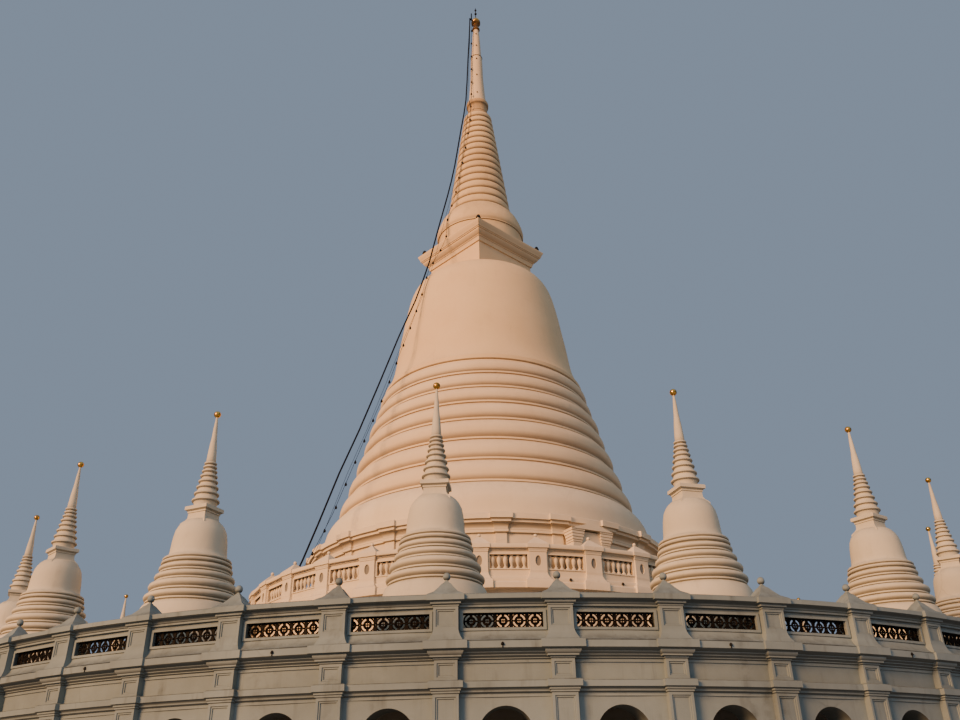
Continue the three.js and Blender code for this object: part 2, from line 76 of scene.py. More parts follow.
# %% Camera
CAMERA_DISTANCE, EYE_HEIGHT = 50.796, 1.595
PITCH, YAW, ROLL = 27.951, -0.2, -1.087
FOCAL_LENGTH, SENSOR_WIDTH, FAR_LIMIT = 32.678, 36.0, 400
camera_data = bpy.data.cameras.new("photo_camera")
camera_data.lens, camera_data.sensor_width = FOCAL_LENGTH, SENSOR_WIDTH
camera_data.clip_end = FAR_LIMIT
camera = bpy.data.objects.new("photo_camera", camera_data)
bpy.context.scene.collection.objects.link(camera)
camera.matrix_world = (
    Matrix.Translation((0, -CAMERA_DISTANCE * MODEL, EYE_HEIGHT * MODEL))
    @ Matrix.Rotation(math.radians(-YAW), 4, "Z")
    @ Matrix.Rotation(math.radians(90 + PITCH), 4, "X")
    @ Matrix.Rotation(math.radians(ROLL), 4, "Z")
)
bpy.context.scene.camera = camera
print("camera at", [round(v, 3) for v in camera.location])

# %% [markdown]
# ## Light
# A low, warm sun on the left models the round forms. A second, very wide lamp stands for the open sky
# above, which leaves the undersides of the mouldings dark, and a pale world fills the rest.

# %% Light
SUN_COLOR, SUN_STRENGTH, SUN_ANGLE = (1.0, 0.49, 0.195), 4.9, 22
SUN_AZIMUTH, SUN_HEIGHT = -44, 19
TOP_COLOR, TOP_STRENGTH, TOP_ANGLE = (0.84, 0.93, 1.0), 0.8, 110
TOP_AZIMUTH, TOP_HEIGHT = -10, 62
FILL_COLOR, FILL_STRENGTH = (0.48, 0.6, 0.75), 0.22
SKY_COLOR = (0.218, 0.272, 0.36)


def add_sun(name, color, strength, azimuth, height, angle):
    """A sun lamp that shines from an azimuth and a height in degrees."""
    data = bpy.data.lights.new(name, "SUN")
    data.color, data.energy, data.angle = color, strength, math.radians(angle)
    lamp = bpy.data.objects.new(name, data)
    bpy.context.scene.collection.objects.link(lamp)
    lamp.matrix_world = (Matrix.Rotation(math.radians(azimuth), 4, "Z")
                         @ Matrix.Rotation(math.radians(90 - height), 4, "X"))


add_sun("low_sun", SUN_COLOR, SUN_STRENGTH, SUN_AZIMUTH, SUN_HEIGHT, SUN_ANGLE)
add_sun("sky_from_above", TOP_COLOR, TOP_STRENGTH, TOP_AZIMUTH, TOP_HEIGHT, TOP_ANGLE)
world = bpy.data.worlds.new("pale_sky")
bpy.context.scene.world = world
world.use_nodes = True
links = world.node_tree.links
background = world.node_tree.nodes["Background"]
background.inputs["Color"].default_value = (*FILL_COLOR, 1)
background.inputs["Strength"].default_value = FILL_STRENGTH
seen = world.node_tree.nodes.new("ShaderNodeBackground")
seen.inputs["Color"].default_value = (*SKY_COLOR, 1)
choose = world.node_tree.nodes.new("ShaderNodeMixShader")
rays = world.node_tree.nodes.new("ShaderNodeLightPath")
links.new(rays.outputs["Is Camera Ray"], choose.inputs["Fac"])
links.new(background.outputs["Background"], choose.inputs[1])
links.new(seen.outputs["Background"], choose.inputs[2])
links.new(choose.outputs["Shader"], world.node_tree.nodes["World Output"].inputs["Surface"])
print("lights:", len(bpy.data.lights))

# %% [markdown]
# ## Weathered lime wash
# Lime wash is never one colour: each coat dries in clouds, rain draws grey streaks down the walls, and
# dust settles on every ledge. One node group holds these effects and also paints shade under overhangs and
# below a given height, so that each tier can have its own amount of them. The helpers below add one node
# each, in the node tree that their first socket is in.


# %% Helpers for nodes
def math_node(operation, first, second):
    """A Math node on a socket and on a second socket or number."""
    tree = first.id_data
    node = tree.nodes.new("ShaderNodeMath")
    node.operation = operation
    tree.links.new(first, node.inputs[0])
    if isinstance(second, float):
        node.inputs[1].default_value = second
    else:
        tree.links.new(second, node.inputs[1])
    return node.outputs["Value"]


def noise_node(vector, scale, detail, roughness):
    """The height of a noise texture."""
    node = vector.id_data.nodes.new("ShaderNodeTexNoise")
    node.inputs["Scale"].default_value = scale
    node.inputs["Detail"].default_value = detail
    node.inputs["Roughness"].default_value = roughness
    vector.id_data.links.new(vector, node.inputs["Vector"])
    return node.outputs["Fac"]


def range_node(value, low, high, to_low=0.0, to_high=1.0):
    """Maps a stretch of values to another, clamped."""
    node = value.id_data.nodes.new("ShaderNodeMapRange")
    for name, number in zip(("From Min", "From Max", "To Min", "To Max"), (low, high, to_low, to_high)):
        node.inputs[name].default_value = number
    value.id_data.links.new(value, node.inputs["Value"])
    return node.outputs["Result"]


def mix_colors(factor, first, second):
    """A colour between two, by a factor that changes over the surface."""
    node = factor.id_data.nodes.new("ShaderNodeMix")
    node.data_type = "RGBA"
    for name, socket in (("Factor", factor), ("A", first), ("B", second)):
        factor.id_data.links.new(socket, node.inputs[name])
    return node.outputs["Result"]


def bump_node(shader, height, distance, strength):
    """Lets a height tilt the normal of a shader."""
    tree = height.id_data
    node = tree.nodes.new("ShaderNodeBump")
    node.inputs["Distance"].default_value = distance
    node.inputs["Strength"].default_value = strength
    tree.links.new(height, node.inputs["Height"])
    tree.links.new(node.outputs["Normal"], shader.inputs["Normal"])


print("node helpers ready")

# %% [markdown]
# The group reads Object coordinates in metres of the model. Streaks are noise stretched along Z, ledges
# and downward faces are found by the normal, and cracks are the edges of bent cells. Downward faces are
# darkened as painted shade, and so is the wash below a given height.

# %% Node group for lime wash
COAT_COLORS = ("Wash", "Old Wash", "Grime")
EFFECTS = ("Cloud", "Streak", "Ledge", "Crack", "Painted Underside Shade")
limewash = bpy.data.node_groups.new("weathered lime wash with painted shade", "ShaderNodeTree")
for name in COAT_COLORS:
    limewash.interface.new_socket(name, in_out="INPUT", socket_type="NodeSocketColor")
for name in [effect + " Amount" for effect in EFFECTS] + ["Damp Height"]:
    limewash.interface.new_socket(name, in_out="INPUT", socket_type="NodeSocketFloat")
limewash.interface.new_socket("Color", in_out="OUTPUT", socket_type="NodeSocketColor")
for name in ("Roughness", "Height"):
    limewash.interface.new_socket(name, in_out="OUTPUT", socket_type="NodeSocketFloat")
given = limewash.nodes.new("NodeGroupInput").outputs
result = limewash.nodes.new("NodeGroupOutput").inputs
place = limewash.nodes.new("ShaderNodeTexCoord").outputs["Object"]
clouds = range_node(noise_node(place, 0.55, 5, 0.62), 0.36, 0.66)
patches = range_node(noise_node(place, 3.1, 6, 0.6), 0.42, 0.68)
stretch = limewash.nodes.new("ShaderNodeMapping")
stretch.inputs["Scale"].default_value = (3.4, 3.4, 0.16)
limewash.links.new(place, stretch.inputs["Vector"])
streaks = range_node(noise_node(stretch.outputs["Vector"], 1.0, 5, 0.65), 0.52, 0.78)
streaks = math_node("MULTIPLY", streaks, patches)
facing = limewash.nodes.new("ShaderNodeSeparateXYZ")
limewash.links.new(limewash.nodes.new("ShaderNodeNewGeometry").outputs["Normal"], facing.inputs["Vector"])
ledges = math_node("MULTIPLY", range_node(facing.outputs["Z"], 0.35, 0.95),
                   range_node(noise_node(place, 5.0, 6, 0.7), 0.3, 0.62))
# Painted shade: faces that look down are darkened towards the grime colour, as shade under overhangs.
painted_underside_shade = range_node(facing.outputs["Z"], -0.7, -0.12, 1.0, 0.0)
spot = limewash.nodes.new("ShaderNodeSeparateXYZ")
limewash.links.new(place, spot.inputs["Vector"])
# Painted shade: below the given height the wash turns to the grime colour, as shade at the foot of a wall.
above_shade_line = math_node("SUBTRACT", spot.outputs["Z"], given["Damp Height"])
above_shade_line = math_node("ADD", above_shade_line, math_node("MULTIPLY", patches, 0.12))
painted_shade_low = range_node(above_shade_line, -0.15, 0.2, 0.9, 0.0)
warp = limewash.nodes.new("ShaderNodeTexNoise")
warp.inputs["Scale"].default_value = 2.4
bent = limewash.nodes.new("ShaderNodeMixRGB")
bent.inputs["Fac"].default_value = 0.22
cells = limewash.nodes.new("ShaderNodeTexVoronoi")
cells.feature = "DISTANCE_TO_EDGE"
cells.inputs["Scale"].default_value = 0.9
for output, socket in ((place, warp.inputs["Vector"]), (place, bent.inputs["Color1"]),
                       (warp.outputs["Color"], bent.inputs["Color2"]),
                       (bent.outputs["Color"], cells.inputs["Vector"])):
    limewash.links.new(output, socket)
cracks = math_node("MULTIPLY", range_node(cells.outputs["Distance"], 0.0, 0.012, 1.0, 0.0),
                   range_node(noise_node(place, 0.8, 3, 0.5), 0.54, 0.66))
coat = mix_colors(math_node("MULTIPLY", clouds, given["Cloud Amount"]), given["Wash"], given["Old Wash"])
for effect, mask in zip(EFFECTS[1:], (streaks, ledges, cracks, painted_underside_shade)):
    coat = mix_colors(math_node("MULTIPLY", mask, given[effect + " Amount"]), coat, given["Grime"])
limewash.links.new(mix_colors(painted_shade_low, coat, given["Grime"]), result["Color"])
grain = noise_node(place, 46, 3, 0.6)
limewash.links.new(range_node(grain, 0.3, 0.7, 0.78, 0.96), result["Roughness"])
relief = math_node("ADD", math_node("MULTIPLY", grain, 0.25), noise_node(place, 5.5, 3, 0.5))
relief = math_node("SUBTRACT", relief, math_node("MULTIPLY", cracks, 0.5))
limewash.links.new(relief, result["Height"])
print("lime wash group:", len(limewash.nodes), "nodes")

# %% [markdown]
# Each tier has its own mix. The upper tiers are cream and clean, tinted warm as painted sunlight, the third
# tier is darkened at its foot as painted shade, the spire is worn, and the outer wall is old and streaked,
# in a dark grey-blue that is painted shade. The shares stand in the order of EFFECTS.


# %% Materials of lime wash
def principled(name):
    """An empty material with its Principled shader."""
    material = bpy.data.materials.new(name)
    material.use_nodes = True
    return material, material.node_tree, material.node_tree.nodes["Principled BSDF"]


def limewash_material(name, wash, old, grime, shares, shade_height=-1.0):
    """Lime wash with its own colours, its shares of each effect of weathering and painted shade, and painted
    shade below a height.
    """
    material, tree, shader = principled(name)
    group = tree.nodes.new("ShaderNodeGroup")
    group.node_tree = limewash
    for socket_name, color in zip(COAT_COLORS, (wash, old, grime)):
        group.inputs[socket_name].default_value = (*color, 1)
    for effect, share in zip(EFFECTS, shares):
        group.inputs[effect + " Amount"].default_value = share
    group.inputs["Damp Height"].default_value = shade_height
    tree.links.new(group.outputs["Color"], shader.inputs["Base Color"])
    tree.links.new(group.outputs["Roughness"], shader.inputs["Roughness"])
    shader.inputs["Specular IOR Level"].default_value = 0.25
    bump_node(shader, group.outputs["Height"], 0.01, 0.5)
    return material


# Painted shade: the third tier, its pilasters and porches turn dark below this height, as the balustrade's
# shadow.
SHADE_LINE_LEVEL = 12.9
# Painted light: the cream of the upper washes is tinted warm as painted sunlight.
UPPER_WASH = limewash_material("upper lime wash", (0.84, 0.74, 0.57), (0.74, 0.62, 0.45),
                               (0.22, 0.185, 0.15), (0.55, 0.16, 0.3, 0.12, 0.5))
FOOT_SHADE_WASH = limewash_material("lime wash with painted shade at its foot", (0.84, 0.74, 0.57), (0.74, 0.62, 0.45),
                              (0.13, 0.1, 0.065), (0.55, 0.16, 0.3, 0.12, 0.6), SHADE_LINE_LEVEL * MODEL)
COURSE_WASH = limewash_material("course lime wash", (0.84, 0.69, 0.49), (0.74, 0.58, 0.39),
                                (0.2, 0.165, 0.13), (0.55, 0.16, 0.3, 0.12, 0.5))
BELL_WASH = limewash_material("bell lime wash", (0.86, 0.665, 0.42), (0.76, 0.56, 0.33),
                              (0.2, 0.165, 0.12), (0.5, 0.14, 0.3, 0.1, 0.5))
SPIRE_WASH = limewash_material("spire lime wash", (0.85, 0.65, 0.395), (0.64, 0.47, 0.28),
                               (0.17, 0.13, 0.085), (0.8, 0.45, 0.6, 0.15, 0.8))
WORN_WASH = limewash_material("worn lime wash", (0.66, 0.47, 0.27), (0.4, 0.28, 0.16),
                              (0.14, 0.1, 0.06), (0.9, 0.9, 0.8, 0.2, 0.8))
# Painted shade: the outer wall is a darker grey-blue than its white lime wash, as shade.
SHADED_LOWER_WASH = limewash_material("lower lime wash in painted shade", (0.265, 0.34, 0.365), (0.18, 0.232, 0.25),
                               (0.06, 0.07, 0.068), (0.9, 0.95, 0.6, 0.25, 0.8))
SMALL_WASH = limewash_material("small stupa lime wash", (0.7, 0.67, 0.545), (0.53, 0.51, 0.42),
                               (0.13, 0.125, 0.105), (0.6, 0.3, 0.4, 0.12, 0.6))
# Painted shade: a dark wash for the back of the sunk ovals and for the core inside the arcade.
SHADOW_WASH = limewash_material("lime wash darkened as painted shade", (0.3, 0.285, 0.25), (0.22, 0.21, 0.185),
                                 (0.08, 0.07, 0.06), (0.7, 0.5, 0.5, 0.2, 0.4))
print("lime washes:", len(bpy.data.materials))

# %% [markdown]
# ## Iron, gilding and paving
# The grilles are cast iron painted black, so dull that they hardly shine. The finials are gilded and a
# little tarnished, and the gallery has worn paving. Each one changes between two tones in patches.


# %% Materials of iron, gilding and paving
def two_tone_material(name, first, second, scale, rough, metallic=0.0, relief_depth=0.002):
    """A surface that changes between two tones in irregular patches."""
    material, tree, shader = principled(name)
    where = tree.nodes.new("ShaderNodeTexCoord").outputs["Object"]
    mask = range_node(noise_node(where, scale, 6, 0.62), 0.45, 0.62)
    ramp = tree.nodes.new("ShaderNodeValToRGB")
    for stop, color in zip(ramp.color_ramp.elements, (first, second)):
        stop.color = (*color, 1)
    tree.links.new(mask, ramp.inputs["Fac"])
    tree.links.new(ramp.outputs["Color"], shader.inputs["Base Color"])
    tree.links.new(range_node(mask, 0, 1, *rough), shader.inputs["Roughness"])
    shader.inputs["Metallic"].default_value = metallic
    bump_node(shader, noise_node(where, scale * 4, 4, 0.6), relief_depth, 0.6)
    return material


IRON = two_tone_material("black cast iron", (0.004, 0.004, 0.004), (0.012, 0.009, 0.007), 9, (0.6, 0.85))
GILDING = two_tone_material("tarnished gilding", (0.78, 0.47, 0.1), (0.42, 0.22, 0.05), 7, (0.2, 0.45), 1.0)
# Painted shade: the neck of the knob is gilding painted dark brown, as gold in shade.
SHADED_GILDING = two_tone_material("gilding in painted shade", (0.3, 0.15, 0.04), (0.07, 0.04, 0.02), 6, (0.3, 0.6), 0.7)
LAMP_METAL = two_tone_material("dull lamp casing", (0.008, 0.008, 0.008), (0.03, 0.027, 0.024), 12,
                               (0.5, 0.75))
CABLE_SKIN = two_tone_material("black cable sheath", (0.003, 0.0035, 0.005), (0.009, 0.009, 0.011), 14,
                               (0.6, 0.8))
DULL_SHINE = 0.12
for dark in (IRON, LAMP_METAL, CABLE_SKIN):
    dark.node_tree.nodes["Principled BSDF"].inputs["Specular IOR Level"].default_value = DULL_SHINE
PAVING = two_tone_material("worn paving", (0.42, 0.4, 0.36), (0.27, 0.255, 0.23), 2.2,
                           (0.6, 0.85), 0.0, 0.004)
UPPER_SLOT, LOWER_SLOT, IRON_SLOT = "upper_lime_plaster", "lower_lime_plaster", "painted_iron"
print("materials:", len(bpy.data.materials))

# %% [markdown]
# ## Turning a profile
# Pick one vertex, extrude it from point to point to draw the template, then spin the template round its
# axis. A profile that starts and ends on the axis gives a closed body, so one that stops short of it is
# led there. Merging doubled vertices closes the seam and the poles, and recalculating the normals turns
# the faces outward.


# %% Helpers for turned work
def clear_selection():
    """Leaves edit mode and selects nothing."""
    if bpy.context.object and bpy.context.object.mode != "OBJECT":
        bpy.ops.object.mode_set(mode="OBJECT")
    bpy.ops.object.select_all(action="DESELECT")


def pick(piece):
    """Selects one piece alone and makes it the active one."""
    clear_selection()
    bpy.context.view_layer.objects.active = piece
    piece.select_set(True)


def half_round(low, high, swell, parts=7):
    """Half an ellipse from one point of a profile to another, hollow if the swell is negative."""
    (r0, z0), (r1, z1) = low, high
    length = math.hypot(r1 - r0, z1 - z0)
    out_r, out_z = (z1 - z0) / length, -(r1 - r0) / length
    points = []
    for i in range(parts + 1):
        along = (1 - math.cos(math.pi * i / parts)) / 2
        bulge = swell * math.sin(math.pi * i / parts)
        points.append((r0 + (r1 - r0) * along + out_r * bulge, z0 + (z1 - z0) * along + out_z * bulge))
    return points


def roll(low, high, widest, parts):
    """A half round between two points that swells to a given radius."""
    middle, half = (low[0] + high[0]) / 2, (low[0] - high[0]) / 2
    tilt = (high[1] - low[1]) / math.hypot(high[0] - low[0], high[1] - low[1])
    return half_round(low, high, math.sqrt(max((widest - middle) ** 2 - half ** 2, 1e-6)) / tilt, parts)


def turned(name, profile, steps, closed=False, turn=0.0):
    """A body of revolution about Z; profile points are (radius, height) in metres of the building."""
    if not closed:
        ends = [[(0, z)] if r > 0 else [] for r, z in (profile[0], profile[-1])]
        profile = ends[0] + profile + ends[1]
    clear_selection()
    bpy.ops.mesh.primitive_plane_add(size=1)
    piece = bpy.context.object
    piece.name = piece.data.name = name
    bpy.ops.object.mode_set(mode="EDIT")
    bpy.ops.mesh.select_mode(type="VERT")
    bpy.ops.mesh.select_all(action="SELECT")
    bpy.ops.mesh.merge(type="CENTER")
    points = [(r * MODEL, z * MODEL) for r, z in profile]
    bpy.ops.transform.translate(value=(points[0][0], 0, points[0][1]))
    for (r0, z0), (r1, z1) in zip(points, points[1:]):
        bpy.ops.mesh.extrude_region_move(TRANSFORM_OT_translate={"value": (r1 - r0, 0, z1 - z0)})
    bpy.ops.mesh.select_all(action="SELECT")
    if closed:
        mesh = bmesh.from_edit_mesh(piece.data)
        mesh.edges.new([v for v in mesh.verts if len(v.link_edges) == 1]).select_set(True)
        bmesh.update_edit_mesh(piece.data)
    bpy.ops.mesh.spin(steps=steps, angle=2 * math.pi, center=(0, 0, 0), axis=(0, 0, 1))
    bpy.ops.mesh.select_all(action="SELECT")
    bpy.ops.mesh.remove_doubles(threshold=1e-5)
    bpy.ops.mesh.normals_make_consistent(inside=False)
    bpy.ops.object.mode_set(mode="OBJECT")
    if turn:
        piece.data.transform(Matrix.Rotation(math.radians(turn), 4, "Z"))
    return piece


def finished(piece, material, slot, *nodes, smooth=35):
    """Shades, paints and fastens a piece, and hides the CAD nodes it stands for."""
    pick(piece)
    bpy.ops.object.shade_smooth_by_angle(angle=math.radians(smooth))
    piece.data.materials.clear()
    piece.data.materials.append(material)
    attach(piece, "root")
    if nodes:
        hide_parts(*nodes)
    triangles = sum(len(face.vertices) - 2 for face in piece.data.polygons)
    print(f"{piece.name}: {triangles} triangles")


# %% [markdown]
# ## The bell
# The bell stands on a small lip and swells very little until its shoulder, where it turns in quickly.
# The long flank and the shoulder are gentle curves through a few measured radii.

# %% Bell
BELL_FOOT = [(6.26, 25.34), (6.31, 25.38), (6.31, 25.56), (6.26, 25.58), (6.26, 25.64), (6.2, 25.7)]
BELL_FLANK = [(6.07, 25.98), (5.96, 26.25), (5.86, 26.55), (5.76, 26.95), (5.65, 27.6), (5.56, 28.3),
              (5.48, 28.85), (5.39, 29.4), (5.28, 30.06), (5.16, 30.83), (5.02, 31.6), (4.86, 32.35)]
BELL_SHOULDER = [(4.75, 32.72), (4.64, 33.0), (4.52, 33.24), (4.37, 33.46), (4.2, 33.65), (4.0, 33.82),
                 (3.78, 33.96), (3.52, 34.07), (3.26, 34.14), (3.0, 34.18), (0, 34.2)]
bell = turned("bell_body", BELL_FOOT + BELL_FLANK + BELL_SHOULDER, BODY_STEPS)
finished(bell, BELL_WASH, UPPER_SLOT, "bell")

# %% [markdown]
# ## Rounded courses and skirt
# Between the bell and the third tier, seven swelling courses step in, each above a thin fillet. They are
# one template, so they are one turned body. Under them lies one broad, smooth roll.

# %% Courses and skirt
COURSE_LEVELS = [17.02, 18.41, 19.76, 21.06, 22.21, 23.31, 24.34, 25.31]
FILLET_RADII = [8.6, 8.15, 7.68, 7.33, 7.07, 6.73, 6.48, 6.36]
WIDEST_RADII = [8.7, 8.25, 7.84, 7.45, 7.17, 6.82, 6.56]
FILLET_HEIGHT, GROOVE = 0.1, 0.1
course_profile = [(0, 17.0)]
for k, widest in enumerate(WIDEST_RADII):
    (r0, r1), (z0, z1) = FILLET_RADII[k:k + 2], COURSE_LEVELS[k:k + 2]
    course_profile += [(r0 - GROOVE, z0 - 0.02), (r0, z0), (r0, z0 + FILLET_HEIGHT)]
    course_profile += roll((r0 - 0.06, z0 + FILLET_HEIGHT + 0.02), (r1 - GROOVE, z1 - 0.12), widest, 10)
course_profile += [(6.24, 25.3), (0, 25.33)]
courses = turned("rounded_courses", course_profile, BODY_STEPS)
finished(courses, COURSE_WASH, UPPER_SLOT, "ring_courses")
SKIRT = [(9.46, 14.79), (9.46, 15.6), (9.44, 15.86), (9.37, 16.12), (9.25, 16.36), (9.11, 16.56),
         (8.95, 16.74), (8.78, 16.88), (8.6, 16.97), (8.4, 16.99)]
finished(turned("base_roll", SKIRT, BODY_STEPS), UPPER_WASH, UPPER_SLOT, "skirt")

# %% [markdown]
# ## The throne
# Above the bell sits a square throne with a cornice that steps out four times. One corner faces the
# front. Spinning a template in four steps gives a square body with mitred corners.


# %% Throne
def square_turned(name, profile, turn=0.0):
    """A square pier of the same profile on all four sides: half widths in place of radii."""
    return turned(name, [(half * math.sqrt(2), z) for half, z in profile], 4, turn=45 + turn)


THRONE_TOP = 36.91
throne_profile = [(2.44, 34.16), (2.44, 35.69), (2.53, 35.7), (2.53, 35.74), (2.59, 35.97), (2.64, 36.0),
                  (2.64, 36.04)]
throne_profile += half_round((2.67, 36.06), (2.87, 36.35), 0.03, 5)
throne_profile += [(2.87, 36.37), (2.93, 36.39), (2.93, 36.44), (2.98, 36.47), (3.02, 36.62),
                   (3.12, 36.84), (3.12, 36.88), (3.1, THRONE_TOP)]
throne = square_turned("square_throne", throne_profile, turn=THRONE_AZIMUTH + 45)
finished(throne, BELL_WASH, UPPER_SLOT, "throne")

# %% [markdown]
# ## Seat and spire
# A round seat with a full shoulder carries fifteen half-round rings that shrink towards the top, then a
# weathered collar and a plain, slender spire. The rings are one template, so they are one turned body.

# %% Seat, rings and collar
SEAT = [(2.96, 36.92), (2.96, 37.84), (3.03, 37.87), (3.03, 37.93), (2.99, 37.95), (3.05, 38.1),
        (3.06, 38.3), (3.0, 38.6), (2.9, 38.9), (2.74, 39.3), (2.5, 39.68), (2.3, 39.9), (2.2, 40.0)]
finished(turned("round_seat", SEAT, 120), SPIRE_WASH, UPPER_SLOT, "spire_seat")
SPIRE_RINGS, RINGS_LOW, RINGS_HIGH = 15, 40.0, 49.62
RING_RADIUS_LOW, RING_RADIUS_HIGH, RING_SHRINK, RING_SWELL = 2.2, 0.98, 0.982, 0.14
heights = [RING_SHRINK ** i for i in range(SPIRE_RINGS)]
step_height = (RINGS_HIGH - RINGS_LOW) / sum(heights)
ring_profile, level = [(0, RINGS_LOW)], RINGS_LOW
for part in heights:
    top = level + part * step_height
    radius0, radius1 = [RING_RADIUS_LOW + (RING_RADIUS_HIGH - RING_RADIUS_LOW)
                        * (z - RINGS_LOW) / (RINGS_HIGH - RINGS_LOW) - 0.08 for z in (level, top)]
    ring_profile += half_round((radius0, level + 0.02), (radius1, top - 0.02), RING_SWELL)
    level = top
rings = turned("ringed_spire_body", ring_profile + [(0, RINGS_HIGH)], 72)
finished(rings, SPIRE_WASH, UPPER_SLOT, "ringed_spire")
collar_profile = [(0, 49.5)] + half_round((0.78, 49.64), (0.76, 49.92), 0.09, 5) + [(0.78, 49.98)]
collar_profile += half_round((0.79, 50.0), (0.81, 50.7), -0.09, 6)
collar_profile += [(0.84, 50.74), (0.85, 50.96), (0.82, 51.06), (0.72, 51.1)]
finished(turned("spire_collar", collar_profile, 48), WORN_WASH, UPPER_SLOT)

# %% [markdown]
# The plain spire is a slender cone on the collar, sheathed in two lengths, of which the lower laps over
# the upper. A dark seam marks the lap, and a row of small hooks climbs the front. The gilded knob is a
# dome on a gilded neck, darker brown as painted shade, and carries a thin rod with two small beads.


# %% Helpers to move, copy and join
def moved(piece, matrix):
    """Moves the mesh, so that its object stays at the origin."""
    piece.data.transform(matrix)
    return piece


def shift(x=0.0, y=0.0, z=0.0):
    """A move in metres of the building."""
    return Matrix.Translation(Vector((x, y, z)) * MODEL)


def around(azimuth):
    """A turn about the axis of the building."""
    return Matrix.Rotation(math.radians(azimuth), 4, "Z")


def sized(x, y, z):
    """A stretch along the axes."""
    return Matrix.Diagonal((x, y, z, 1))


def copy_of(piece, matrix):
    """A copy with its own mesh, moved by a matrix."""
    twin = bpy.data.objects.new(piece.name + "_copy", piece.data.copy())
    bpy.context.scene.collection.objects.link(twin)
    return moved(twin, matrix)


def joined(name, pieces):
    """One object from many."""
    pick(pieces[0])
    for piece in pieces:
        piece.select_set(True)
    if len(pieces) > 1:
        bpy.ops.object.join()
    whole = bpy.context.view_layer.objects.active
    whole.name = whole.data.name = name
    return whole


def discard(*pieces):
    """Removes patterns that were only there to be copied."""
    for piece in pieces:
        bpy.data.objects.remove(piece)


def block(name, low, high):
    """A box between two corners, in metres of the building."""
    clear_selection()
    bpy.ops.mesh.primitive_cube_add(size=1)
    piece = bpy.context.object
    piece.name = piece.data.name = name
    size = [(h - l) * MODEL for l, h in zip(low, high)]
    return moved(piece, shift(*[(h + l) / 2 for l, h in zip(low, high)]) @ sized(*size))


print("helpers to move, copy and join ready")

# %% Plain spire and knob
SPIRE = [(0.67, 51.1), (0.66, 51.3), (0.6, 52.0), (0.54, 53.0), (0.49, 53.8), (0.46, 55.4), (0.44, 56.08),
         (0.38, 56.12), (0.365, 56.6), (0.34, 57.3), (0.275, 58.66), (0.21, 59.29)]
HOOKS = [(58.6, 0.275), (57.2, 0.34), (55.6, 0.456), (53.8, 0.49), (51.8, 0.61)]
SEAM_RADIUS, SEAM_LEVEL = 0.445, 56.09
finished(turned("plain_spire_body", SPIRE, 48), COURSE_WASH, UPPER_SLOT, "plain_spire")
clear_selection()
bpy.ops.mesh.primitive_torus_add(major_segments=40, minor_segments=6, major_radius=SEAM_RADIUS * MODEL,
                                 minor_radius=0.028 * MODEL)
seam = moved(bpy.context.object, shift(z=SEAM_LEVEL))
hooks = [block("hook", (-0.04, -radius - 0.05, height), (0.04, -radius + 0.05, height + 0.1))
         for height, radius in HOOKS]
finished(joined("spire_seam_and_hooks", [seam, *hooks]), LAMP_METAL, IRON_SLOT)
NECK = [(0.29, 59.3), (0.32, 59.35), (0.31, 59.46), (0.24, 59.56), (0.21, 59.75), (0.22, 59.96),
        (0.33, 60.04), (0.37, 60.07), (0.37, 60.13), (0.3, 60.15)]
finished(turned("knob_neck", NECK, 24), SHADED_GILDING, "gilding", "gilded_knob")
dome_profile = [(0.34, 60.15)] + half_round((0.35, 60.16), (0.08, 60.7), 0.1, 8) + [(0, 60.73)]
finished(turned("knob_dome", dome_profile, 24), GILDING, "gilding")
rod_profile = [(0.03, 60.7), (0.03, 61.18)] + half_round((0.03, 61.19), (0.03, 61.39), 0.07, 5)
rod_profile += [(0.03, 61.62)] + half_round((0.03, 61.63), (0.03, 61.8), 0.06, 5) + [(0.02, 61.98)]
finished(turned("knob_rod", rod_profile, 10), LAMP_METAL, IRON_SLOT)

# %% [markdown]
# ## Cable and lamp string
# A black cable, a thin strand beside it and a string of lamps hang from an iron arm at the knob down to
# a pier of the balustrade. They are extruded from point to point; the lamps are one turned bulb, copied
# along the string.


# %% Helpers for cables
def rod(name, points, thickness, sides=8):
    """A round bar or cable through points in metres of the building, extruded from point to point."""
    clear_selection()
    path = [Vector(point) * MODEL for point in points]
    bpy.ops.mesh.primitive_circle_add(vertices=sides, radius=thickness / 2 * MODEL, fill_type="NGON")
    piece = bpy.context.object
    piece.name = piece.data.name = name
    first = (path[1] - path[0]).normalized()
    piece.data.transform(Matrix.Translation(path[0]) @ first.to_track_quat("Z", "Y").to_matrix().to_4x4())
    bpy.ops.object.mode_set(mode="EDIT")
    bpy.ops.mesh.select_all(action="SELECT")
    for here, there in zip(path, path[1:]):
        bpy.ops.mesh.extrude_region_move(TRANSFORM_OT_translate={"value": there - here})
    bpy.ops.mesh.select_all(action="SELECT")
    bpy.ops.mesh.normals_make_consistent(inside=False)
    bpy.ops.object.mode_set(mode="OBJECT")
    return piece


def polar(radius, azimuth, height):
    """A point from its distance to the axis, azimuth and height."""
    angle = math.radians(azimuth)
    return (radius * math.sin(angle), -radius * math.cos(angle), height)


print("helpers for cables ready")

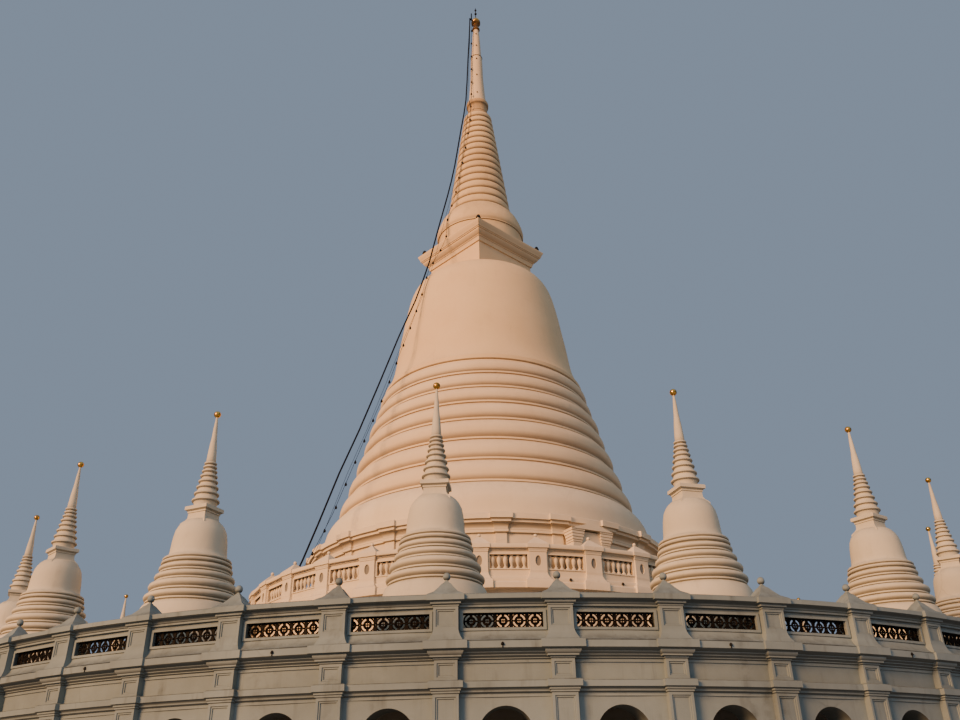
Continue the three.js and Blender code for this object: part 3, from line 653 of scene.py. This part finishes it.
# %% Cable, strand and lamp string
CABLE_AZIMUTH, STRAND_AZIMUTH = -46.45, -44.45
CABLE_THICKNESS, STRING_THICKNESS, STRAND_THICKNESS = 0.1, 0.028, 0.022
CABLE_LINE = [(0.655, 60.16), (0.68, 59.48), (0.8, 57.4), (0.94, 55.29), (1.06, 53.0), (1.21, 50.82),
              (1.46, 49.1), (1.76, 47.43), (2.06, 45.6), (2.38, 43.71), (2.71, 42.1), (3.06, 40.61),
              (3.7, 38.11), (4.2, 36.1), (4.65, 34.25), (5.19, 32.5), (5.75, 30.81), (6.94, 27.82),
              (8.29, 24.12), (9.52, 20.82), (10.65, 18.03), (11.68, 15.16), (12.45, 13.1), (12.68, 12.56)]
cable = rod("stay_cable_run", [polar(r, CABLE_AZIMUTH, z) for r, z in CABLE_LINE], CABLE_THICKNESS)
finished(cable, CABLE_SKIN, "cable_sheath", "stay_cable", smooth=60)
STRING_TOP = [(0.46, CABLE_AZIMUTH, 60.16), (0.48, CABLE_AZIMUTH, 59.0), (0.56, CABLE_AZIMUTH, 56.0),
              (0.68, -38, 53.0), (0.95, -30, 51.0), (1.14, -27.9, 49.3), (1.38, -31.5, 47.4),
              (1.6, -36.8, 45.78), (1.92, CABLE_AZIMUTH, 43.24)]
STRING_RUN = [(2.4, 40.8), (2.9, 39.3), (3.15, 38.2), (3.2, 36.95), (3.5, 36.1), (4.15, 34.68),
              (4.52, 34.06), (4.8, 33.2), (5.0, 32.4), (5.16, 31.76), (5.95, 29.2), (6.89, 26.53),
              (7.77, 23.91), (8.82, 21.21), (9.84, 18.52), (10.9, 15.74), (11.75, 13.91)]
STRING_END = [(12.5, -45.3, 12.7), (12.72, -45.3, 12.54)]
string_line = STRING_TOP + [(r, CABLE_AZIMUTH, z) for r, z in STRING_RUN] + STRING_END
string_points = [Vector(polar(*point)) for point in string_line]
string = rod("lamp_string_run", string_points, STRING_THICKNESS, 6)
strand_points = [polar(r - 0.3 * (1 - 0.655 / r), STRAND_AZIMUTH, z) for r, z in CABLE_LINE]
strand_points.append(polar(12.78, STRAND_AZIMUTH, 12.36))
strand = rod("second_strand", strand_points, STRAND_THICKNESS, 6)
finished(joined("lamp_string_run", [string, strand]), CABLE_SKIN, "cable_sheath", "lamp_string", smooth=60)

# %% Lamps of the string and the iron arm
LAMP_SPACING = 1.48
BULB = [(0, -0.17), (0.04, -0.16), (0.07, -0.11), (0.065, -0.06), (0.04, -0.02), (0.04, 0.02), (0, 0.03)]
bulb = turned("bulb", BULB, 8)
bulbs, walked = [], 0.0
for here, there in zip(string_points[1:], string_points[2:]):
    length = (there - here).length
    while walked < length:
        bulbs.append(copy_of(bulb, shift(*here.lerp(there, walked / length))))
        walked += LAMP_SPACING
    walked -= length
discard(bulb)
finished(joined("string_lamps", bulbs), LAMP_METAL, IRON_SLOT)
arm = joined("cable_arm_bar", [block("arm", (-0.05, -0.7, 60.17), (0.05, -0.28, 60.24)),
                               block("upright", (-0.03, -0.52, 60.2), (0.03, -0.45, 60.95))])
finished(moved(arm, around(CABLE_AZIMUTH)), IRON, IRON_SLOT, "cable_arm")

# %% [markdown]
# ## Third tier
# A drum with shallow pilasters carries a cornice, which breaks forward over each pilaster. A pilaster is
# the front of a square pier that stands deep in the drum, so its mouldings return on both sides.


# %% Third tier
def ring_of(name, pattern, azimuths):
    """Copies of a pattern, each turned round the axis, as one object."""
    return joined(name, [copy_of(pattern, around(azimuth)) for azimuth in azimuths])


drum_profile = [(10.05, 10.76), (10.05, 11.1), (9.95, 11.2), (9.85, 11.25), (9.85, 13.86), (9.97, 13.9),
                (9.97, 14.02), (9.93, 14.04)]
drum_profile += half_round((9.94, 14.06), (10.12, 14.32), -0.05, 5)
drum_profile += [(10.17, 14.35), (10.17, 14.47), (10.3, 14.5), (10.3, 14.75), (10.27, 14.78)]
drum = turned("third_tier_drum", drum_profile, 176)
# The foot of the drum behind the balustrade gets painted shade.
finished(drum, FOOT_SHADE_WASH, UPPER_SLOT, "third_drum", "third_cornice")
PILASTER_RING, PILASTER_FLATTEN = 9.53, 0.62
pilaster_profile = [(0.64, 10.78), (0.64, 11.1), (0.54, 11.2), (0.44, 11.25), (0.44, 13.86), (0.56, 13.9),
                    (0.56, 14.02), (0.52, 14.04)]
pilaster_profile += half_round((0.53, 14.06), (0.71, 14.32), -0.05, 4)
pilaster_profile += [(0.76, 14.35), (0.76, 14.47), (0.89, 14.5), (0.89, 14.77), (0.86, 14.8)]
pilaster = square_turned("pilaster", pilaster_profile)
moved(pilaster, shift(y=-PILASTER_RING) @ sized(PILASTER_FLATTEN, 1, 1))
pilaster_azimuths = [THIRD_PHASE + k * 360 / THIRD_PILASTERS for k in range(THIRD_PILASTERS)]
finished(ring_of("third_tier_pilasters", pilaster, pilaster_azimuths), FOOT_SHADE_WASH, UPPER_SLOT)
discard(pilaster)

# %% [markdown]
# ## Second tier
# The second tier is a plain drum with a projecting floor. Its balustrade has piers with a sunk oval, a
# coping, and six vase-shaped balusters in each opening. One bay and one pier are made and copied round.

# %% Second tier drum and floor
second_profile = [(13.2, 5.83), (13.2, 6.25), (13.08, 6.4), (12.9, 6.45), (12.9, 10.16), (12.96, 10.18)]
second_profile += half_round((12.98, 10.2), (13.26, 10.42), -0.05, 5)
second_profile += [(13.35, 10.46), (13.35, 10.68), (13.3, 10.75)]
second = turned("second_tier_drum", second_profile, 192)
finished(second, UPPER_WASH, UPPER_SLOT, "second_drum", "second_terrace")


# %% Helpers to cut and trim
def cut(piece, *cutters):
    """Cuts holes with Boolean modifiers, which are applied at once."""
    for cutter in cutters:
        pick(piece)
        modifier = piece.modifiers.new("hole", "BOOLEAN")
        modifier.operation, modifier.object, modifier.solver = "DIFFERENCE", cutter, "EXACT"
        bpy.ops.object.modifier_apply(modifier=modifier.name)
    discard(*cutters)


def mitred(piece, half_angle):
    """Trims both ends of a bay by planes through the axis of the building."""
    pick(piece)
    bpy.ops.object.mode_set(mode="EDIT")
    for side in (-1, 1):
        angle = math.radians(half_angle) * side
        bpy.ops.mesh.select_all(action="SELECT")
        bpy.ops.mesh.bisect(plane_co=(0, 0, 0), plane_no=(math.cos(angle) * side, math.sin(angle) * side, 0),
                            use_fill=True, clear_outer=True)
    bpy.ops.object.mode_set(mode="OBJECT")
    return piece


print("helpers to cut and trim ready")

# %% One bay of the balustrade
OPENING_LOW, OPENING_HIGH, OPENING_WIDTH, BALUSTERS = 11.34, 11.95, 1.66, 6
panel = block("panel", (-1.5, -13.08, 10.74), (1.5, -12.82, 12.16))
frame_band = block("band", (-0.9, -13.12, 11.29), (0.9, -12.78, 12.01))
opening = ((-OPENING_WIDTH / 2, -13.6, OPENING_LOW), (OPENING_WIDTH / 2, -12.4, OPENING_HIGH))
cut(panel, block("cutter", *opening))
cut(frame_band, block("cutter", *opening))
foot = block("foot", (-1.5, -13.2, 10.74), (1.5, -12.74, 10.98))
coping = block("coping", (-1.5, -13.28, 12.2), (1.5, -12.66, 12.4))
under = block("under", (-1.5, -13.12, 12.14), (1.5, -12.78, 12.2))
for strip in (foot, coping):
    pick(strip)
    bpy.ops.object.mode_set(mode="EDIT")
    bpy.ops.mesh.select_all(action="SELECT")
    bpy.ops.mesh.bevel(offset=0.03 * MODEL, segments=2)
    bpy.ops.object.mode_set(mode="OBJECT")
bay = mitred(joined("balustrade_bay", [panel, frame_band, foot, under, coping]), SECOND_BAY / 2)
VASE = [(0.085, 0), (0.085, 0.08), (0.045, 0.1), (0.04, 0.13), (0.06, 0.19), (0.085, 0.27), (0.097, 0.35),
        (0.085, 0.42), (0.05, 0.48), (0.05, 0.5), (0.08, 0.51), (0.08, 0.53)]
vase = moved(turned("vase", VASE, 10), sized(1.05, 1.05, 1.15))
vases = [copy_of(vase, shift((i + 0.5 - BALUSTERS / 2) * OPENING_WIDTH / BALUSTERS, -12.95, OPENING_LOW))
         for i in range(BALUSTERS)]
discard(vase)
bay = joined("balustrade_bay", [bay, *vases])
print("one bay of the balustrade:", len(bay.data.polygons), "faces")

# %% Pier with its oval, and the whole balustrade
RAIL_RING = 12.85
pier_profile = [(0.59, 10.44), (0.59, 10.77), (0.57, 10.8)]
pier_profile += half_round((0.56, 10.82), (0.39, 11.22), -0.05, 6)
pier_profile += [(0.38, 11.27), (0.38, 12.04), (0.4, 12.06), (0.4, 12.12), (0.43, 12.17), (0.43, 12.2),
                 (0.49, 12.22), (0.49, 12.39), (0.45, 12.44), (0.12, 12.74), (0.06, 12.8)]
pier = moved(square_turned("balustrade_pier", pier_profile), shift(y=-RAIL_RING))
clear_selection()
bpy.ops.mesh.primitive_cylinder_add(vertices=20, radius=1, depth=1)
oval = moved(bpy.context.object, shift(0, -13.28, 11.66) @ sized(0.13 * MODEL, 0.24 * MODEL, 0.23 * MODEL)
             @ Matrix.Rotation(math.pi / 2, 4, "X"))
# Painted shade: a dark disc stands at the back of each sunk oval.
recess = copy_of(oval, shift(y=0.225))
cut(pier, oval)
ball = turned("ball", half_round((0, 12.78), (0, 12.96), 0.08, 8), 12)
pier = joined("balustrade_pier", [pier, moved(ball, shift(y=-RAIL_RING))])
per_segment = SECOND_BAYS // SECOND_SEGMENTS
for segment in range(SECOND_SEGMENTS):
    first = SECOND_PHASE + (SECOND_FIRST_SEAM + segment * per_segment) * SECOND_BAY
    bays = [copy_of(bay, around(first + (k + 0.5) * SECOND_BAY)) for k in range(per_segment)]
    piers = [copy_of(pier, around(first + k * SECOND_BAY)) for k in range(per_segment)]
    run = joined(f"balustrade_run_{segment + 1}", bays + piers)
    finished(run, UPPER_WASH, UPPER_SLOT, f"balustrade_{segment + 1}")
recess_azimuths = [SECOND_PHASE + k * SECOND_BAY for k in range(SECOND_BAYS)]
finished(ring_of("balustrade_recesses", recess, recess_azimuths), SHADOW_WASH, UPPER_SLOT)
discard(bay, pier, recess)

# %% [markdown]
# ## Small stupas
# The eighteen small stupas repeat the large one: rounded courses, bell, square throne, rings and a plain
# spire. Each is one turned profile with a square throne on its bell, and a gilded ball on its tip.

# %% Small stupas
SMALL_COURSES = [(7.98, 1.47, 1.53), (8.32, 1.38, 1.43), (8.67, 1.25, 1.29), (8.98, 1.16, 1.19),
                 (9.27, 1.1, 1.14)]
small_profile = [(2.0, 5.83), (2.0, 6.02), (1.93, 6.1), (1.88, 6.6), (1.7, 7.34), (1.58, 7.8), (1.52, 7.9)]
for (z0, r0, widest), (z1, r1, _) in zip(SMALL_COURSES, SMALL_COURSES[1:]):
    small_profile += [(r0 - 0.06, z0 - 0.03), (r0, z0), (r0, z0 + 0.045)]
    small_profile += roll((r0 - 0.05, z0 + 0.055), (r1 - 0.03, z1 - 0.06), widest, 7)
small_profile += [(1.05, 9.24)] + half_round((1.1, 9.26), (1.1, 9.37), 0.05, 4) + [(1.06, 9.39)]
small_profile += half_round((1.08, 9.4), (1.06, 9.49), 0.05, 4)
small_profile += [(1.0, 9.53), (0.97, 9.56), (0.945, 9.61), (0.93, 9.7), (0.92, 9.82), (0.905, 10.04),
                  (0.88, 10.25), (0.84, 10.45), (0.77, 10.6), (0.69, 10.71), (0.6, 10.79), (0.5, 10.83),
                  (0, 10.84)]
SMALL_THRONE = [(0.52, 10.6), (0.52, 10.7), (0.48, 10.76), (0.41, 10.84), (0.37, 10.92), (0.36, 11.09),
                (0.385, 11.1), (0.385, 11.15), (0.42, 11.18), (0.46, 11.2), (0.46, 11.31), (0.445, 11.33)]
SMALL_RINGS = [(11.56, 0.475), (11.81, 0.43), (12.05, 0.38), (12.27, 0.338), (12.47, 0.3), (12.65, 0.268),
               (12.81, 0.24), (12.95, 0.22)]
small_spire = [(0.38, 11.32), (0.38, 11.42)]
for height, radius in SMALL_RINGS:
    small_spire += half_round((radius - 0.07, height - 0.055), (radius - 0.07, height + 0.055), 0.07, 5)
small_spire += [(0.165, 13.03), (0.155, 13.25), (0.13, 13.59), (0.09, 13.96), (0.07, 14.33), (0.03, 14.78)]
small = joined("small_stupa_pattern", [turned("small_body", small_profile, 40),
                                       square_turned("small_throne", SMALL_THRONE),
                                       turned("small_top", small_spire, 24)])
gilt = turned("gilt", half_round((0, 14.74), (0, 14.99), 0.125, 10), 16)
gilt_balls = []
for k in range(SATELLITES):
    to_place = around(SATELLITE_PHASE + k * 360 / SATELLITES) @ shift(y=-SATELLITE_RING)
    copy = joined(f"small_stupa_body_{k + 1}", [copy_of(small, to_place)])
    finished(copy, SMALL_WASH, "small_stupa_plaster", f"small_stupa_{k + 1}")
    gilt_balls.append(copy_of(gilt, to_place))
discard(small, gilt)
finished(joined("small_stupa_balls", gilt_balls), GILDING, "gilding")

# %% [markdown]
# ## First terrace and the long mouldings
# Cornice, ledge and coping run round the whole building, so each is one long turned moulding. A ring
# moulding is a closed template that doesn't reach the axis.

# %% Long mouldings
terrace_profile = [(26.4, 4.71), (26.56, 4.47), (26.6, 4.48), (26.6, 4.56), (26.66, 4.58)]
terrace_profile += half_round((26.68, 4.6), (26.74, 4.68), -0.02, 3)
terrace_profile += [(26.78, 4.7), (26.78, 4.85), (26.7, 4.88), (26.56, 4.9), (26.56, 5.33), (26.6, 5.33),
                    (26.6, 5.4), (26.65, 5.43), (26.65, 5.45), (26.72, 5.5), (26.72, 5.52), (26.79, 5.57),
                    (26.79, 5.59), (26.87, 5.62), (26.96, 5.64), (26.98, 5.66), (26.98, 5.83),
                    (26.95, 5.85), (26.4, 5.85), (26.3, 5.82)]
terrace = turned("first_terrace_mouldings", terrace_profile, WALL_STEPS)
finished(terrace, SHADED_LOWER_WASH, LOWER_SLOT, "first_terrace")
foot_profile = [(26.3, 5.83), (26.96, 5.86)] + half_round((26.93, 5.88), (26.6, 6.12), -0.05, 5)
foot_profile += [(26.58, 6.16), (26.3, 6.16)]
coping_profile = [(26.24, 6.77), (26.6, 6.77), (26.66, 6.79), (26.66, 6.84)]
coping_profile += half_round((26.69, 6.86), (26.82, 6.94), -0.03, 4)
coping_profile += [(26.88, 6.97), (26.88, 7.09), (26.62, 7.17), (26.42, 7.17), (26.16, 7.09),
                   (26.16, 6.97), (26.24, 6.9)]
for name, profile in (("parapet_foot", foot_profile), ("parapet_coping", coping_profile)):
    finished(turned(name, profile, WALL_STEPS, closed=True), SHADED_LOWER_WASH, LOWER_SLOT)

# %% [markdown]
# ## Arcade and parapet
# One bay is modelled at azimuth 0 and copied round. The doorway is cut by a box and a cylinder, and a
# thin raised band is extruded up one jamb, spun over the arch and extruded down the other.


# %% Helpers to pick faces and sink panels
def select_faces(piece, test):
    """Selects in edit mode the faces that pass a test of their middle and normal, in building metres."""
    bpy.ops.mesh.select_mode(type="FACE")
    mesh = bmesh.from_edit_mesh(piece.data)
    for face in mesh.faces:
        face.select = test(face.calc_center_median() / MODEL, face.normal)
    mesh.select_flush_mode()
    bmesh.update_edit_mesh(piece.data)


def sunk_panels(piece, test, border, depth):
    """Sinks a panel in two steps into each face that passes the test."""
    pick(piece)
    bpy.ops.object.mode_set(mode="EDIT")
    bpy.ops.mesh.select_all(action="DESELECT")
    select_faces(piece, test)
    for step in (border, 0.035):
        bpy.ops.mesh.inset(thickness=step * MODEL, depth=0, use_individual=True)
        bpy.ops.mesh.inset(thickness=0.01 * MODEL, depth=-depth * MODEL, use_individual=True)
    bpy.ops.object.mode_set(mode="OBJECT")


print("helpers for faces and panels ready")

# %% One bay of the arcade
ARCH_HALF, ARCH_SPRING, PLINTH_TOP = 0.74, 3.53, FLOOR_TOP + 0.5
HALF_BAY = 1.6
door = ((-ARCH_HALF, -27.5, -0.5), (ARCH_HALF, -25, ARCH_SPRING))
wall = block("wall_bay", (-HALF_BAY, -WALL_FACE, FLOOR_TOP + 0.01), (HALF_BAY, -WALL_INNER, WALL_TOP + 0.02))
clear_selection()
bpy.ops.mesh.primitive_cylinder_add(vertices=48, radius=ARCH_HALF * MODEL, depth=2.5 * MODEL)
head = moved(bpy.context.object, shift(0, -26.2, ARCH_SPRING) @ Matrix.Rotation(math.pi / 2, 4, "X"))
cut(wall, block("door", *door), head)
mitred(wall, BAY / 2)
band = block("archivolt", (-ARCH_HALF - 0.09, -WALL_FACE - 0.05, PLINTH_TOP),
             (-ARCH_HALF, -WALL_FACE + 0.1, PLINTH_TOP + 0.1))
bpy.ops.object.mode_set(mode="EDIT")
bpy.ops.mesh.select_all(action="DESELECT")
select_faces(band, lambda middle, normal: normal.z > 0.9)
up, down = (ARCH_SPRING - PLINTH_TOP - 0.1) * MODEL, (PLINTH_TOP - ARCH_SPRING) * MODEL
bpy.ops.mesh.extrude_region_move(TRANSFORM_OT_translate={"value": (0, 0, up)})
bpy.ops.mesh.spin(steps=28, angle=math.pi, center=Vector((0, -WALL_FACE, ARCH_SPRING)) * MODEL,
                  axis=(0, 1, 0))
bpy.ops.mesh.extrude_region_move(TRANSFORM_OT_translate={"value": (0, 0, down)})
bpy.ops.object.mode_set(mode="OBJECT")
plinth = mitred(block("plinth", (-HALF_BAY, -WALL_FACE - 0.07, FLOOR_TOP + 0.01),
                      (HALF_BAY, -WALL_FACE + 0.1, PLINTH_TOP)), BAY / 2)
cut(plinth, block("door", *door))
arcade_bay = joined("arcade_bay", [wall, band, plinth])
print("one bay of the arcade:", len(arcade_bay.data.polygons), "faces")

# %% One pier from the ground to its ball
WALL_PIER = [(0.44, 0.21), (0.44, 0.68), (0.38, 0.75), (0.34, 0.78), (0.34, 4.55), (0.37, 4.57),
             (0.37, 4.61), (0.4, 4.63), (0.4, 4.67), (0.46, 4.7), (0.46, 4.86), (0.41, 4.89), (0.31, 4.9),
             (0.31, 5.4), (0.34, 5.42), (0.34, 5.45), (0.42, 5.47), (0.42, 5.51), (0.45, 5.53),
             (0.48, 5.59), (0.48, 5.62), (0.55, 5.65), (0.59, 5.66), (0.59, 5.86), (0.56, 5.88),
             (0.46, 5.9), (0.43, 5.95), (0.39, 6.02), (0.36, 6.1), (0.34, 6.19), (0.34, 6.79), (0.36, 6.8),
             (0.36, 6.83), (0.42, 6.86), (0.42, 6.91), (0.47, 6.92), (0.52, 6.94), (0.52, 7.09),
             (0.48, 7.12), (0.33, 7.21), (0.22, 7.34), (0.13, 7.46), (0.07, 7.51), (0.05, 7.55)]
PANEL_HEIGHTS = ((0.8, 4.5), (4.95, 5.38), (6.25, 6.78))
wall_pier = moved(square_turned("wall_pier", WALL_PIER), shift(y=-PIER_RING))
sunk_panels(wall_pier, lambda middle, normal: normal.y < -0.9 and middle.y < -26.6
            and any(low < middle.z < high for low, high in PANEL_HEIGHTS), 0.07, 0.03)
ball_profile = [(0, 7.5), (0.06, 7.51), (0.05, 7.55)] + half_round((0.045, 7.58), (0, 7.79), 0.085)
ball = moved(turned("ball", ball_profile, 14), shift(y=-PIER_RING))
wall_pier = joined("wall_pier", [wall_pier, ball])
print("one pier of the wall:", len(wall_pier.data.polygons), "faces")

# %% Parapet bay with its window frame
WINDOW_LOW, WINDOW_HIGH, WINDOW_HALF = 6.24, 6.64, 1.09
parapet_wall = mitred(block("parapet_wall", (-HALF_BAY, -26.56, 6.14), (HALF_BAY, -26.32, 6.8)), BAY / 2)
surround = block("surround", (-WINDOW_HALF - 0.08, -26.6, WINDOW_LOW - 0.07),
                 (WINDOW_HALF + 0.08, -26.28, WINDOW_HIGH + 0.07))
for piece in (parapet_wall, surround):
    cut(piece, block("window", (-WINDOW_HALF, -27, WINDOW_LOW), (WINDOW_HALF, -26, WINDOW_HIGH)))
parapet_bay = joined("parapet_bay", [parapet_wall, surround])
print("one bay of the parapet:", len(parapet_bay.data.polygons), "faces")

# %% Arcade and parapet, segment by segment
middles = [[WALL_PHASE + (segment * BAYS_PER_SEGMENT + k + 0.5) * BAY for k in range(BAYS_PER_SEGMENT)]
           for segment in range(SEGMENTS)]
for number, azimuths in enumerate(middles, 1):
    arcade = ring_of(f"arcade_{number}", arcade_bay, azimuths)
    finished(arcade, SHADED_LOWER_WASH, LOWER_SLOT, f"outer_wall_{number}")
    parapet = ring_of(f"parapet_wall_{number}", parapet_bay, azimuths)
    finished(parapet, SHADED_LOWER_WASH, LOWER_SLOT, f"parapet_{number}")
    piers = ring_of(f"wall_piers_{number}", wall_pier, [azimuth - BAY / 2 for azimuth in azimuths])
    finished(piers, SHADED_LOWER_WASH, LOWER_SLOT)
discard(arcade_bay, parapet_bay, wall_pier)

# %% [markdown]
# ## Iron grilles
# A unit of cast iron is a large ring round a small one, with a cross in it and short arms between them.
# Every other window holds five whole units, the rest four with half a unit let into each jamb.

# %% Grilles
UNITS, GRILLE_RING, EDGE_HEIGHT = 5, 26.46, 0.03
unit_width = 2 * WINDOW_HALF / UNITS
HALF_WIDE, HALF_HIGH = unit_width / 2, (WINDOW_HIGH - WINDOW_LOW) / 2


def bar(start, end, wide, deep=0.035):
    """A flat iron bar between two points (x, z) of the window."""
    run = Vector((end[0] - start[0], 0, end[1] - start[1]))
    piece = block("bar", (-wide / 2, -deep / 2, 0), (wide / 2, deep / 2, run.length))
    turn = run.to_track_quat("Z", "Y").to_matrix().to_4x4()
    return moved(piece, shift(start[0], 0, start[1]) @ turn)


def iron_ring(radius, thick, steps, x=0.0):
    """A cast ring that stands upright in the window."""
    clear_selection()
    bpy.ops.mesh.primitive_torus_add(major_segments=steps, minor_segments=4, major_radius=radius * MODEL,
                                     minor_radius=thick * MODEL)
    return moved(bpy.context.object, shift(x) @ Matrix.Rotation(math.pi / 2, 4, "X"))


unit = [iron_ring(0.196, 0.021, 20), iron_ring(0.093, 0.038, 14), iron_ring(0.035, 0.018, 8, HALF_WIDE)]
unit += [bar((-0.08, 0), (0.08, 0), 0.022), bar((0, -0.08), (0, 0.08), 0.022)]
for side in (-1, 1):
    unit.append(bar((side * 0.1, 0), (side * (HALF_WIDE - 0.03), 0), 0.08))
    unit.append(bar((0, side * 0.1), (0, side * HALF_HIGH), 0.08))
    unit.append(bar((HALF_WIDE, side * 0.04), (HALF_WIDE, side * HALF_HIGH), 0.1))
unit = moved(joined("grille_unit", unit), shift(0, -GRILLE_RING, (WINDOW_LOW + WINDOW_HIGH) / 2))
edges = [block("edge", (-WINDOW_HALF, -GRILLE_RING - 0.03, low),
               (WINDOW_HALF, -GRILLE_RING + 0.03, low + EDGE_HEIGHT))
         for low in (WINDOW_LOW, WINDOW_HIGH - EDGE_HEIGHT)]
grilles = []
for count in (UNITS, UNITS + 1):
    units = [copy_of(unit, shift((i + 0.5 - count / 2) * unit_width)) for i in range(count)]
    strips = [copy_of(edge, Matrix.Identity(4)) for edge in edges]
    grilles.append(joined(f"grille_of_{count}", units + strips))
discard(unit, *edges)
for number, azimuths in enumerate(middles, 1):
    first_bay = (number - 1) * BAYS_PER_SEGMENT
    copies = [copy_of(grilles[(first_bay + k) % 2], around(azimuth)) for k, azimuth in enumerate(azimuths)]
    finished(joined(f"grilles_{number}", copies), IRON, IRON_SLOT)
discard(*grilles)

# %% [markdown]
# ## Porches
# Two porches with a low gable stand against the third tier. Their piers have a stepped capital, and a
# cylinder with three sides, laid on its side and flattened, is the gable.

# %% Porches
PORCH_AZIMUTHS = (28.8, 208.8)
PORCH_PIER = [(0.29, 10.76), (0.29, 11.0), (0.24, 11.05), (0.24, 13.42), (0.265, 13.44), (0.265, 13.52),
              (0.295, 13.54), (0.295, 13.66), (0.325, 13.68), (0.325, 13.8), (0.35, 13.82), (0.35, 13.94),
              (0.38, 13.96), (0.38, 14.08)]
porch_pier = square_turned("porch_pier", PORCH_PIER)
parts = [copy_of(porch_pier, shift(side * 0.83, -10.36)) for side in (-1, 1)]
parts += [block("lintel", (-0.8, -10.56, 13.05), (0.8, -9.5, 13.98)),
          block("body", (-1.0, -10.3, 10.8), (-0.55, -9.5, 13.9)),
          block("body", (0.55, -10.3, 10.8), (1.0, -9.5, 13.9))]
clear_selection()
bpy.ops.mesh.primitive_cylinder_add(vertices=3, radius=1, depth=1)
gable = moved(bpy.context.object, Matrix.Rotation(math.pi / 2, 4, "X"))
low = min(vertex.co.z for vertex in gable.data.vertices)
parts.append(moved(gable, shift(0, -10.1, 14.04) @ sized(1.41 * MODEL, 1.36 * MODEL, 0.26 * MODEL)
                   @ Matrix.Translation((0, 0, -low))))
porch = joined("porch_body", parts)
for number, azimuth in enumerate(PORCH_AZIMUTHS, 1):
    body = ring_of(f"porch_body_{number}", porch, [azimuth])
    finished(body, FOOT_SHADE_WASH, UPPER_SLOT, f"porch_{number}")
discard(porch_pier, porch)

# %% [markdown]
# ## Small lamps
# Small dark lamps stand on the ledge of the wall, on the second terrace and on the corners of the
# throne. One lamp is turned and copied. Each place is a distance from the axis, an azimuth, a height and
# a size.

# %% Lamps
LAMP_HEAD = [(0, 0.1), (0.07, 0.1), (0.08, 0.13), (0.06, 0.19), (0.03, 0.23), (0, 0.24)]
LAMP_STEM = [(0.04, 0), (0.02, 0.02), (0.02, 0.11)]
LEDGE_LAMPS = [(26.99, 0.79 + 2 * BAY * k, 5.66, (0.6, 0.6, 0.6)) for k in range(BAYS // 2)]
THRONE_LAMPS = [(3.95, THRONE_AZIMUTH + 90 * k, THRONE_TOP, (2.16, 2.16, 2.24)) for k in range(4)]
TERRACE_LAMPS = [(13.22, azimuth, 10.75, (0.8, 0.8, 0.8)) for azimuth in (16.0, 27.2)]
lamp = joined("lamp", [turned("lamp_head", LAMP_HEAD, 10), turned("lamp_stem", LAMP_STEM, 8)])
lamps = [copy_of(lamp, shift(*polar(*place)) @ sized(*size))
         for *place, size in LEDGE_LAMPS + THRONE_LAMPS + TERRACE_LAMPS]
discard(lamp)
finished(joined("small_lamps", lamps), LAMP_METAL, IRON_SLOT)

# %% [markdown]
# ## What stays of the imported model
# The gallery floor and the core behind the arcade are simple shapes already, so they only get materials;
# the core gets a dark wash as painted shade.

# %% Materials of the remaining nodes
for name, material in (("gallery_floor", PAVING), ("core_drum", SHADOW_WASH)):
    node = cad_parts[name]
    node.data.materials.clear()
    node.data.materials.append(material)
    print(f"{name}: {material.name}")

# %% [markdown]
# ## The studio
# The part stands on a plain pale floor, which stays out of the export.

# %% Floor of the studio
FLOOR_SIZE, FLOOR_COLOR = 300, (0.4, 0.43, 0.46)
clear_selection()
bpy.ops.mesh.primitive_plane_add(size=FLOOR_SIZE)
floor = bpy.context.object
floor.name = "studio_floor"
floor_material, _, floor_shader = principled("pale floor")
floor_shader.inputs["Base Color"].default_value = (*FLOOR_COLOR, 1)
floor_shader.inputs["Roughness"].default_value = 0.9
floor.data.materials.append(floor_material)
